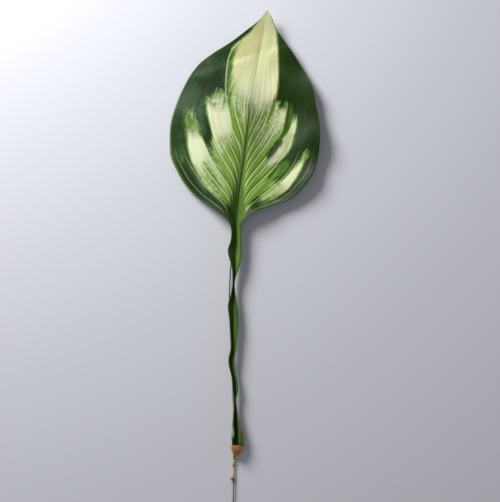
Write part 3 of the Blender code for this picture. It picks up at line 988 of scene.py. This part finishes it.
def leaf_numbers(finish):
    """All numbers that several parts of the leaf's finish read."""
    n = SimpleNamespace()
    for name in ATTRIBUTES + ("under",):
        setattr(n, name, finish.attribute(name))
    for name, (across, length, layer, detail, roughness) in STREAKS.items():
        place = finish.vector(n.strand * across, n.y / length, layer)
        setattr(n, name, finish.cloud(place, 1.0, detail, roughness))
    n.mottle = finish.cloud(finish.place(), MOTTLE_SCALE, 3.0, 0.6)
    n.patches = finish.cloud(finish.place(), PATCH_SCALE, 3.0, 0.55)
    n.tearing = (n.threads - 0.5) * 3.0 + (n.ribbons - 0.5) * 1.6 + (n.mottle - 0.5) * 1.4
    n.blotch = (n.flecks - 0.5) * 1.3 + (n.ribbons - 0.5) * 1.0 + (n.mottle - 0.5) * 0.9
    for name, (raggedness, low, high) in TORN_EDGES.items():
        setattr(n, name, (getattr(n, name) + n.tearing * raggedness).between(low, high))
    return n


print("streaks:", ", ".join(STREAKS))

# %% [markdown]
# ## The leaf's finish: cream and greens
#
# Inside a flame the skin is cream, warmer at the tip. Round it lies a thin rim of bright yellow-green,
# and where a flame ends its cream melts into the green in blotches. The heart of the blade is a middle
# green, and the rest is dark green with a waxy, slightly blue bloom. Painted shade darkens the right
# half's green and cream towards the margin, and the cream beyond the tip's crease. Painted light
# brightens the cream right of the midrib, and painted reflections lie on the dark green in places.

# %% Fades and shares
# Millimetres up the leaf: nothing at the first place, all of it at the second.
FADES = {
    "warm": (298, 322), "cream_light_from": (270, 290), "cream_light_to": (335, 305),
    "toned_veins": (262, 232), "tan_veins": (345, 300), "crest": (350, 332), "margin_highlight": (205, 230),
    "left_light_from": (222, 236), "left_light_to": (300, 280), "band": (318, 262), "furrow_shade": (316, 262),
    "wide_furrow_shade": (228, 205), "foot": (240, 205), "fold": (224, 204), "stalk": (210, 190),
    "stalk_highlight_from": (135, 165), "stalk_highlight_to": (205, 178), "left_wall_shade": (52, 38),
    "grey_from": (12, 17), "grey_to": (46, 36), "grooves": (350, 290),
}
VEIN_HALF_WIDTH = 0.56


def fade(n, name):
    return n.y.between(*FADES[name])


def add_shares(n):
    """How much of the skin is cream, bright green, vein line or on the right, at each point."""
    edge = n.cream + n.tearing * n.ragged
    soft = n.ragged * 0.85 + 0.2
    solid = edge.between(soft * -1, soft)
    melted = n.mottled * (n.blotch * 1.25 + 0.22 - solid * 0.7)
    n.rim = edge.between(n.ragged * -0.8 - 1.2, soft * -1) * (0.35 + n.ribbons * 0.6)
    n.cream = (solid + melted).most(0.0).least(1.0)
    n.bright = (n.bright * (n.blotch * 0.8 + 0.8) * 0.9).most(0.0).least(1.0)
    n.line = n.vein.between(VEIN_HALF_WIDTH, 0.1)
    n.right = n.aside.between(0.0, 8.0)


print("named fades:", len(FADES))

# %% Greens
BRIGHT = colour(100, 146, 44)
MIDDLE = colour(150, 184, 80)
MIDDLE_DEEP = colour(114, 156, 50)
DARK = colour(34, 58, 16)
DARK_BLUE = colour(48, 74, 42)
PAINTED_SHADE_GREEN = colour(36, 56, 12)
DEEP_GREEN_AND_SHADE = colour(24, 42, 10)
BLOOM = colour(112, 132, 112)
# Painted reflection, laid into the dark green's colour.
PAINTED_SHEEN = colour(92, 114, 92)


def dark_skin(finish, n):
    """The dark green: bluer in patches, with painted shade on the right half that deepens towards its margin.
    """
    dark = finish.mix(n.patches.between(0.38, 0.62), DARK, DARK_BLUE)
    # Painted shade: the right half darker, and more so towards its margin.
    dark = finish.mix(n.right * 0.45 + n.aside.between(34.0, 52.0) * 0.5, dark, PAINTED_SHADE_GREEN)
    dark = finish.mix((n.patches * n.threads).between(0.29, 0.42) * 0.1, dark, BLOOM)
    dark = finish.mix(n.deep * 0.75, dark, DEEP_GREEN_AND_SHADE)
    # Painted shade along the right margin.
    return finish.mix(n.aside.between(46.0, 60.0) * 0.6, dark, DEEP_GREEN_AND_SHADE)


def green_skin(finish, n, dark):
    """The heart's middle green in the dark green, painted reflections, and bright rims and patches over both.
    """
    middle = finish.mix(n.ribbons.between(0.35, 0.65), MIDDLE_DEEP, MIDDLE)
    green = finish.mix(n.heart, dark, middle)
    # Painted reflection of lamp and sky over the dark green.
    green = finish.mix(n.sheen * (1 - n.heart) * 0.25, green, PAINTED_SHEEN)
    bright = (n.rim * (1 - n.heart * 0.6)).most(n.bright).most(n.mottled * 0.5)
    return finish.mix(bright, green, BRIGHT)


print("dark green is", [round(c, 3) for c in DARK[:3]])

# %% Creams
CREAM = colour(228, 235, 194)
CREAM_WARM = colour(229, 230, 176)
CREAM_FLECKS_AND_SHADE = colour(214, 220, 158)
CREAM_PAINTED_LIGHT = colour(253, 255, 204)
CREAM_PAINTED_SHADE = colour(212, 211, 144)


def pale_skin(finish, n):
    """Cream, warm at the tip, with darker flecks, painted light on the right and painted shade at tip and
    right.
    """
    pale = finish.mix(fade(n, "warm"), CREAM, CREAM_WARM)
    pale = finish.mix(n.flecks.between(0.4, 0.8) * 0.6, pale, CREAM_FLECKS_AND_SHADE)
    # Painted light on the cream right of the midrib, from about 270 to 335 mm up.
    pale = finish.mix(n.right * fade(n, "cream_light_to") * fade(n, "cream_light_from"), pale, CREAM_PAINTED_LIGHT)
    # Painted shade on the cream beyond the tip's crease.
    pale = finish.mix(n.dull.between(-1.5, 2.0) * 0.75, pale, CREAM_PAINTED_SHADE)
    # Painted shade on the cream towards the right margin; the same colour also tints the random flecks.
    return finish.mix(n.aside.between(22.0, 36.0) * 0.55, pale, CREAM_FLECKS_AND_SHADE)


print("cream is", [round(c, 3) for c in CREAM[:3]])

# %% [markdown]
# ## The leaf's finish: veins and midrib
#
# In the heart each vein is a pale line with painted shade beside it. In the dark green the lines
# are faint, and in the cream they are tan. The midrib's groove is painted as a dark line of shade, with
# a band of plain green on its right and painted light to its left, and at the blade's foot both run
# into the stalk.

# %% Veins on the skin
VEIN_PALE = colour(235, 246, 184)
TAN = colour(206, 186, 116)


def add_veins(finish, n, skin):
    """Pale veins with painted shade beside them, tan ones in the cream, a painted highlight on the left
    margin.
    """
    # Painted shade on the skin beside each vein in the heart.
    beside = n.vein.between(0.5, 0.9) * n.vein.between(1.7, 1.0)
    skin = finish.mix(beside * n.heart * (1 - n.cream) * 0.3, skin, DARK)
    in_dark = (1 - n.heart) * (1 - n.cream) * n.tone * fade(n, "toned_veins")
    shown = n.line * (n.heart * (1 - n.cream) * 0.92 + in_dark) * n.rib.between(0.75, 1.3)
    drawn_line = n.pale_line.between(0.95, 0.1) * 0.6
    skin = finish.mix(shown.most(drawn_line).least(1.0), skin, VEIN_PALE)
    skin = finish.mix(n.line * n.cream * fade(n, "tan_veins") * 0.2, skin, TAN)
    crest = abs(n.aside + 0.2).between(0.75, 0.2) * n.cream * fade(n, "crest")
    skin = finish.mix(crest * 0.35, skin, TAN)
    # Painted highlight along the left margin, where its edge would catch the lamp.
    margin = abs(n.strand).between(0.98, 0.996) * fade(n, "margin_highlight") * n.aside.between(5.0, -5.0)
    return finish.mix(margin * 0.36, skin, MIDDLE)


print("vein lines are", 2 * VEIN_HALF_WIDTH, "mm wide at most")

# %% Midrib on the skin
MIDDLE_PAINTED_LIGHT = colour(186, 212, 122)
RIB_GREEN = colour(88, 122, 40)


def add_midrib(finish, n, skin):
    """Painted light left of the midrib, the midrib's green band, and painted shade in the groove between
    them.
    """
    # Painted light on the gutter's left side, which faces away from the lamp.
    left_of_midrib_light = abs(n.aside + 2.1).between(1.7, 0.7) * fade(n, "left_light_from") * fade(n, "left_light_to")
    skin = finish.mix(left_of_midrib_light * (1 - n.cream) * 0.5, skin, MIDDLE_PAINTED_LIGHT)
    band = n.rib.between(1.15, 0.85) * n.aside.between(0.5, 1.3) * fade(n, "band")
    band_green = finish.mix(n.threads.between(0.35, 0.65) * 0.5, RIB_GREEN, MIDDLE)
    skin = finish.mix(band * 0.92 * (1 - n.cream), skin, band_green)
    # Painted shade: the midrib's groove as a dark line, wider at the blade's foot.
    half_width = fade(n, "wide_furrow_shade") * 0.6 + 0.85
    furrow_shade = abs(n.aside - 0.1).between(half_width, 0.2) * fade(n, "furrow_shade") * 0.9
    return finish.mix(furrow_shade, skin, PAINTED_SHADE_GREEN)


print("the midrib's band is", [round(c, 3) for c in RIB_GREEN[:3]])

# %% [markdown]
# ## The leaf's finish: the stalk
#
# The stalk's gutter shows its inner face, which is striped and carries painted light in the middle,
# between two walls in painted shade, the left one darkest near the cut end, and a painted highlight
# below the blade. Near the cut end one wall has dried to grey. The stripes are streaks as in the
# blade, and they go on into its foot, so that stalk and blade run into each other without a seam.
# There, left of the midrib, painted shade marks the fold.

# %% Stalk on the skin
STALK_DARK = colour(62, 88, 32)
STALK_LIGHT_AND_STRIPES = colour(112, 150, 68)
STALK_GREY = colour(110, 115, 104)


def add_stalk(finish, n, skin):
    """Stalk colours with painted light, highlight and shade; its stripes and painted shade reach into the
    blade.
    """
    waver = n.stripes - 0.5
    # The inner face gets painted light and stripes; the walls either side keep the darker green as painted
    # shade.
    inside = (n.strand + waver * 0.5).between(-0.3, 0.3) * (n.strand + waver * 0.4).between(0.98, 0.42)
    # Painted highlight on the inner face below the blade.
    stalk_highlight = fade(n, "stalk_highlight_from") * fade(n, "stalk_highlight_to")
    stalk = finish.mix(inside * (0.3 + stalk_highlight * 0.5 + waver * 2.6), STALK_DARK, STALK_LIGHT_AND_STRIPES)
    # Painted shade on the left wall near the cut end.
    stalk = finish.mix(n.strand.between(0.35, 0.1) * fade(n, "left_wall_shade") * 0.7, stalk, PAINTED_SHADE_GREEN)
    grey = n.strand.between(0.35, 0.6) * fade(n, "grey_from") * fade(n, "grey_to")
    stalk = finish.mix(grey, stalk, STALK_GREY)
    foot = fade(n, "foot") * n.rib.between(1.7, 0.8) * n.stripes.between(0.42, 0.6)
    skin = finish.mix(foot * 0.8, skin, STALK_DARK)
    # Painted shade in the fold left of the midrib at the blade's foot.
    fold = fade(n, "fold") * n.aside.between(0.0, -2.0) * n.rib.between(2.0, 0.9)
    skin = finish.mix(fold * 0.6, skin, DEEP_GREEN_AND_SHADE)
    return finish.mix(fade(n, "stalk"), skin, stalk)


print("the stalk's dark green is", [round(c, 3) for c in STALK_DARK[:3]])

# %% [markdown]
# ## The leaf's finish: put together
#
# The parts are laid over each other from the ground up: greens, cream, veins, midrib, stalk. The far
# face is paler. A bump carries what is too fine for the mesh: the veins' hairline grooves, fibres, and
# ripples across the strands. Wax makes the skin glossy in patches, so roughness wanders a little.

# %% Leaf finish
FAR_FACE = colour(132, 158, 120)
BUMP_HEIGHT = 0.16 * MM
WAXY_SHINE = 0.16


def leaf_relief(finish, n):
    grooves = n.line * fade(n, "grooves") * -0.5 + n.fibres * 0.35 + n.threads * 0.3
    grooves = grooves + n.ripples * (n.sheen * 2.2 + 0.25) * (1 - n.cream)
    return finish.bump(grooves, BUMP_HEIGHT)


def leaf_finish():
    finish = Finish("leaf_skin")
    n = leaf_numbers(finish)
    add_shares(n)
    dark = dark_skin(finish, n)
    skin = green_skin(finish, n, dark)
    skin = finish.mix(n.cream * (1 - n.bright * 0.75), skin, pale_skin(finish, n))
    # Dark green over the patches; at the blade's foot left of the midrib this is painted shade.
    skin = finish.mix(n.dark * 0.85, skin, dark)
    skin = add_veins(finish, n, skin)
    skin = add_midrib(finish, n, skin)
    skin = add_stalk(finish, n, skin)
    skin = finish.mix(n.under * 0.55, skin, FAR_FACE)
    gloss = 0.36 + n.patches.between(0.3, 0.7) * 0.12 + n.fibres * 0.08 + n.under * 0.2
    relief = leaf_relief(finish, n)
    return finish.set(Base_Color=skin, Roughness=gloss, Normal=relief, Specular_IOR_Level=WAXY_SHINE)


leaf.data.materials.clear()
leaf.data.materials.append(leaf_finish())
print("leaf finish:", len(leaf.data.materials[0].node_tree.nodes), "nodes")

# %% [markdown]
# ## The wire
#
# Florist's wire is mild steel with a dull green enamel, cut from a straight length. It is one round
# section carried along the midrib's underside. A ring that is extruded again and again keeps an even
# mesh and costs little. The cut ends get a small chamfer, as shears leave them.

# %% A tube along a course


def edges_in(parts):
    """The edges among the parts that an operator gives back."""
    return [part for part in parts if isinstance(part, bmesh.types.BMEdge)]


def swept_tube(middles, radii, sides):
    """A ring carried along the middles: extruded, moved on and resized at each one."""
    bm = bmesh.new()
    bmesh.ops.create_circle(bm, segments=sides, radius=1.0, cap_ends=True)
    for v in bm.verts:
        v.co = middles[0] + Vector((v.co.x, 0, v.co.y)) * radii[0]
    edges = bm.edges[:]
    for before, after, r0, r1 in zip(middles, middles[1:], radii, radii[1:]):
        made = bmesh.ops.extrude_edge_only(bm, edges=edges)["geom"]
        ring = [part for part in made if isinstance(part, bmesh.types.BMVert)]
        edges = [edge for edge in edges_in(made) if all(v in ring for v in edge.verts)]
        for v in ring:
            v.co = after + (v.co - before) * (r1 / r0)
    bmesh.ops.contextual_create(bm, geom=edges)
    bmesh.ops.recalc_face_normals(bm, faces=bm.faces)
    return bm


trial = swept_tube([Vector((0, 0, 0)), Vector((0, 1, 0))], [1.0, 1.0], 8)
print("a short tube with 8 sides has", len(trial.faces), "faces")
trial.free()

# %% Wire
WIRE_RADIUS = 0.55
WIRE_SIDES = 20
WIRE_STEP = 2.0
WIRE_ENDS = (-59.0, 247.0)
WIRE_CHAMFER = 0.12
KEEL_GAP = 0.4
WIRE_COURSE = [
    (-59, -2.6), (-47, -2.3), (-28, -1.9), (-6, -1.4), (10, -3.4), (36, -2.4), (80, -3.9), (131, -5.6),
    (153, -4.6), (175, -2.4), (197, 0.3), (213, 2.0), (230, 4.3), (247, 6.7),
]


def wire_middle(y):
    """The wire's middle, just under the leaf's keel."""
    return placed(smooth_line(WIRE_COURSE, y), y, smooth_line(KEEL, y) - KEEL_GAP - WIRE_RADIUS)


def make_wire():
    count = round((WIRE_ENDS[1] - WIRE_ENDS[0]) / WIRE_STEP)
    inner = np.linspace(*WIRE_ENDS, count + 1)
    places = np.insert(inner, (1, count), (WIRE_ENDS[0] + WIRE_CHAMFER, WIRE_ENDS[1] - WIRE_CHAMFER))
    radii = [WIRE_RADIUS * MM] * len(places)
    radii[0] = radii[-1] = (WIRE_RADIUS - WIRE_CHAMFER) * MM
    return add_piece("wire", swept_tube([wire_middle(y) for y in places], radii, WIRE_SIDES))


wire = make_wire()
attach(wire, "root")
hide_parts("stem_wire")
print("wire:", len(wire.data.polygons), "faces")

# %% [markdown]
# ## The wire's enamel
#
# The enamel is a dull green-grey that changes slowly along the wire, with pinholes where bare steel
# shows and shines. Beside the stalk's foot a film of glue has dried on it. Film and steel are masks over
# the enamel, and the steel's mask also makes the surface metallic there.

# %% Wire finish
ENAMEL = colour(58, 70, 68)
ENAMEL_PALE = colour(90, 106, 98)
STEEL = colour(120, 122, 124)
FILM = colour(206, 200, 132)
FILM_FROM = (8.0 - CENTRE[1]) * MM
FILM_TO = (42.0 - CENTRE[1]) * MM
FILM_FADES = (5 * MM, 8 * MM)
FLECK_SCALE = 900.0
DRIFT_SCALE = 60.0
FILM_SCALE = 500.0
ENAMEL_BUMP = 0.04 * MM


def wire_finish():
    finish = Finish("enamelled_wire")
    place = finish.place()
    flecks = finish.cloud(place, FLECK_SCALE, 3.0, 0.6)
    drift = finish.cloud(place, DRIFT_SCALE, 1.0)
    skin = finish.mix(drift.between(0.4, 0.6), ENAMEL, ENAMEL_PALE)
    worn = flecks.between(0.68, 0.76)
    skin = finish.mix(worn, skin, STEEL)
    along = finish.along(place)
    film = along.between(FILM_FROM, FILM_FROM + FILM_FADES[0])
    film = film * along.between(FILM_TO, FILM_TO - FILM_FADES[1])
    film = film * (finish.cloud(place, FILM_SCALE, 2.0) * 2.0)
    skin = finish.mix(film, skin, FILM)
    relief = finish.bump(flecks, ENAMEL_BUMP)
    shine = worn * (1 - film) * 0.8
    return finish.set(Base_Color=skin, Roughness=0.38 + flecks * 0.2, Metallic=shine, Normal=relief)


wire.data.materials.append(wire_finish())
print("wire finish:", len(wire.data.materials[0].node_tree.nodes), "nodes")

# %% [markdown]
# ## The glue
#
# Hot-melt glue is dropped on as a blob and sets as it runs: a lump over the cut end, a thin run down
# the wire, and a bead where the run stopped. A voxel remesh melts overlapping spheres and a tapering
# tube into one skin, as the hot glue itself did, and a smoothing pass takes the steps out.

# %% Glue cap
LUMP_CENTRE = (1.0, 1.2, 4.4)
LUMP_RADII = (5.7, 7.2, 4.9)
RUN = [
    (-27.0, 0.9), (-23.0, 0.72), (-18.0, 0.7), (-12.0, 0.78), (-8.5, 1.0), (-5.5, 1.6), (-2.0, 2.2),
]
RUN_RINGS = 40
RUN_SIDES = 16
LOBES = [
    ((-1.9, -8.0), (0.9, 1.9, 0.7)), ((-2.3, -12.6), (0.75, 1.6, 0.6)), ((-2.6, -15.6), (0.6, 1.2, 0.5)),
    ((0.5, -9.4), (0.7, 1.3, 0.6)), ((0.2, -12.8), (0.55, 1.0, 0.5)), ((2.4, -6.0), (0.7, 1.3, 0.8)),
]
BEAD_Y = -26.7
BEAD_OFFSET = -1.5
BEAD_RADIUS = 1.7


def add_ball(bm, centre, radii, detail):
    """A stretched sphere, centre and radii in millimetres of the drawing."""
    made = bmesh.ops.create_uvsphere(bm, u_segments=detail, v_segments=detail // 2, radius=MM)
    bmesh.ops.scale(bm, vec=radii, verts=made["verts"])
    bmesh.ops.translate(bm, vec=placed(*centre), verts=made["verts"])


def drawn(point):
    """Back from the frame to the drawing's millimetres."""
    return (point.x / MM + CENTRE[0], point.y / MM + CENTRE[1], point.z / MM)


def make_glue_cap():
    places = np.linspace(RUN[0][0], RUN[-1][0], RUN_RINGS)
    radii = [float(smooth_line(RUN, y)) * MM for y in places]
    bm = swept_tube([wire_middle(y) for y in places], radii, RUN_SIDES)
    add_ball(bm, LUMP_CENTRE, LUMP_RADII, detail=40)
    x, y, z = drawn(wire_middle(BEAD_Y))
    add_ball(bm, (x + BEAD_OFFSET, y, z), (BEAD_RADIUS,) * 3, detail=24)
    for (x, y), size in LOBES:
        add_ball(bm, (x, y, drawn(wire_middle(y))[2]), size, detail=16)
    return add_piece("glue_lump", bm)


glue_cap = make_glue_cap()
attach(glue_cap, "root")
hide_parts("glue_cap")
print("glue cap, before it sets:", len(glue_cap.data.polygons), "faces")

# %% Trimming the glue


def drop_crumbs(bm):
    """A remesh can leave a speck beside the skin. Only the largest part stays."""
    left = set(bm.verts)
    parts = []
    while left:
        part = set()
        front = {left.pop()}
        while front:
            part |= front
            front = {e.other_vert(v) for v in front for e in v.link_edges} - part
        left -= part
        parts.append(part)
    parts.sort(key=len)
    bmesh.ops.delete(bm, geom=[v for part in parts[:-1] for v in part], context="VERTS")
    return len(parts) - 1


def cut_off(bm, place, outwards):
    """Everything beyond a plane goes, and the cut is closed."""
    cut = bmesh.ops.bisect_plane(
        bm, geom=bm.verts[:] + bm.edges[:] + bm.faces[:], dist=1e-6,
        plane_co=place, plane_no=outwards, clear_outer=True,
    )
    bmesh.ops.edgeloop_fill(bm, edges=edges_in(cut["geom_cut"]))


print("crumbs can be dropped and ends cut off flat")

# %% Glue set hard
GLUE_VOXEL = 0.28 * MM
CAP_TOP = PETIOLE_START - 0.3
GLUE_FOOT = 0.003 * MM
SMOOTHING_ROUNDS = 4
ALL_AXES = {"use_axis_x": True, "use_axis_y": True, "use_axis_z": True}


def set_glue(piece):
    """Melts the overlapping shapes into one skin, smooths it and trims it clear of leaf and floor."""
    melt = piece.modifiers.new("melt", "REMESH")
    melt.mode = "VOXEL"
    melt.voxel_size = GLUE_VOXEL
    apply_modifiers(piece)
    bm = bmesh.new()
    bm.from_mesh(piece.data)
    print("specks dropped:", drop_crumbs(bm))
    for _ in range(SMOOTHING_ROUNDS):
        bmesh.ops.smooth_vert(bm, verts=bm.verts, factor=0.5, **ALL_AXES)
    cut_off(bm, placed(0, CAP_TOP, 0), (0, 1, 0))
    cut_off(bm, (0, 0, GLUE_FOOT), (0, 0, -1))
    bm.to_mesh(piece.data)
    bm.free()
    piece.data.shade_smooth()


set_glue(glue_cap)
print("glue cap:", len(glue_cap.data.polygons), "faces")

# %% [markdown]
# ## The hidden bead of glue
#
# Something has to hold the wire to the midrib's back. A low bead under the wire does, as it is squeezed
# from the same glue. A sphere is stretched, its top is cut level where the leaf's back would be, and its
# points then follow the wire's course, so that it bends as the wire does.

# %% Glue seam under the wire
SEAM_Y = 230.0
SEAM_RADII = (1.9, 14.0, 1.5)


def make_glue_seam():
    """A low, long bead that cups the wire's underside."""
    bm = bmesh.new()
    bmesh.ops.create_uvsphere(bm, u_segments=40, v_segments=36, radius=1.0)
    bmesh.ops.scale(bm, vec=SEAM_RADII, verts=bm.verts)
    level = bmesh.ops.bisect_plane(
        bm, geom=bm.verts[:] + bm.edges[:] + bm.faces[:], dist=0.0001,
        plane_co=(0, 0, WIRE_RADIUS), plane_no=(0, 0, 1), clear_outer=True,
    )
    bmesh.ops.contextual_create(bm, geom=edges_in(level["geom_cut"]))
    for v in bm.verts:
        x, y, z = v.co
        middle = drawn(wire_middle(SEAM_Y + y))
        v.co = placed(middle[0] + x, middle[1], middle[2] + z)
    return add_piece("glue_bead", bm)


glue_seam = make_glue_seam()
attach(glue_seam, "root")
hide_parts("glue_seam")
print("glue seam:", len(glue_seam.data.polygons), "faces")

# %% [markdown]
# ## The glue's finish
#
# Amber glue is clouded inside and glossy outside. Two sizes of noise make the clouds, the lump's middle
# has a rosy tinge, and thin places such as the run are paler and more olive. A clear coat over a
# slightly uneven surface gives the wet-looking highlights.

# %% Glue finish
AMBER = colour(206, 146, 62)
AMBER_DEEP = colour(152, 106, 38)
ROSE = colour(206, 130, 88)
OLIVE = colour(128, 118, 56)
LUMP_FOOT = (-5.5 - CENTRE[1]) * MM
LUMP_TOP = (2.0 - CENTRE[1]) * MM
RUN_TOP = (-4.5 - CENTRE[1]) * MM
RUN_FOOT = (-25.0 - CENTRE[1]) * MM
GLUE_FADE = 3 * MM
TOP_FADE = 2 * MM
CLOUD_SCALE = 320.0
SWIRL_SCALE = 700.0
GLUE_BUMP = 0.3 * MM


def glue_finish():
    finish = Finish("set_glue")
    place = finish.place()
    clouds = finish.cloud(place, CLOUD_SCALE, 3.0, 0.6)
    swirls = finish.cloud(place, SWIRL_SCALE, 2.0)
    along = finish.along(place)
    skin = finish.mix(clouds.between(0.38, 0.62), AMBER_DEEP, AMBER)
    heart = along.between(LUMP_FOOT, LUMP_FOOT + GLUE_FADE) * along.between(LUMP_TOP, LUMP_TOP - TOP_FADE)
    skin = finish.mix(swirls.between(0.42, 0.62) * heart * 0.8, skin, ROSE)
    skin = finish.mix(clouds.between(0.6, 0.7) * (1 - heart) * 0.8, skin, FILM)
    run = along.between(RUN_TOP, RUN_TOP - GLUE_FADE) * along.between(RUN_FOOT, RUN_FOOT + GLUE_FADE)
    skin = finish.mix(run * 0.85, skin, finish.mix(clouds.between(0.46, 0.7), OLIVE, FILM))
    relief = finish.bump(clouds + swirls * 0.4, GLUE_BUMP)
    return finish.set(Base_Color=skin, Roughness=0.2 + clouds * 0.25, Normal=relief, Coat_Weight=0.3)


for piece in (glue_cap, glue_seam):
    piece.data.materials.clear()
    piece.data.materials.append(glue_finish())
print("glue finish on", glue_cap.name, "and", glue_seam.name)

# %% [markdown]
# ## The floor
#
# The leaf lies on plain pale paper. One flat square is enough, because nothing of it shows but its tone
# and the shadow on it. It is staging and not part of the object, and it lies a hair below the leaf, so
# that the two never share a plane.

# %% Floor
FLOOR_SIZE = 3.0
FLOOR_DROP = 0.02 * MM
FLOOR_TONE = colour(228, 229, 236)


def make_floor():
    bm = bmesh.new()
    bmesh.ops.create_grid(bm, x_segments=1, y_segments=1, size=FLOOR_SIZE / 2)
    bmesh.ops.translate(bm, vec=(0, 0, -FLOOR_DROP), verts=bm.verts)
    floor = add_piece("floor", bm)
    return floor


def floor_finish():
    finish = Finish("floor_paper")
    return finish.set(Base_Color=FLOOR_TONE, Roughness=0.9)


floor = make_floor()
floor.data.materials.append(floor_finish())
print("floor", FLOOR_SIZE, "m wide, tone", [round(c, 2) for c in FLOOR_TONE[:3]])

# %% [markdown]
# ## The end
#
# The dressed leaf has to stay inside the box of its solids.
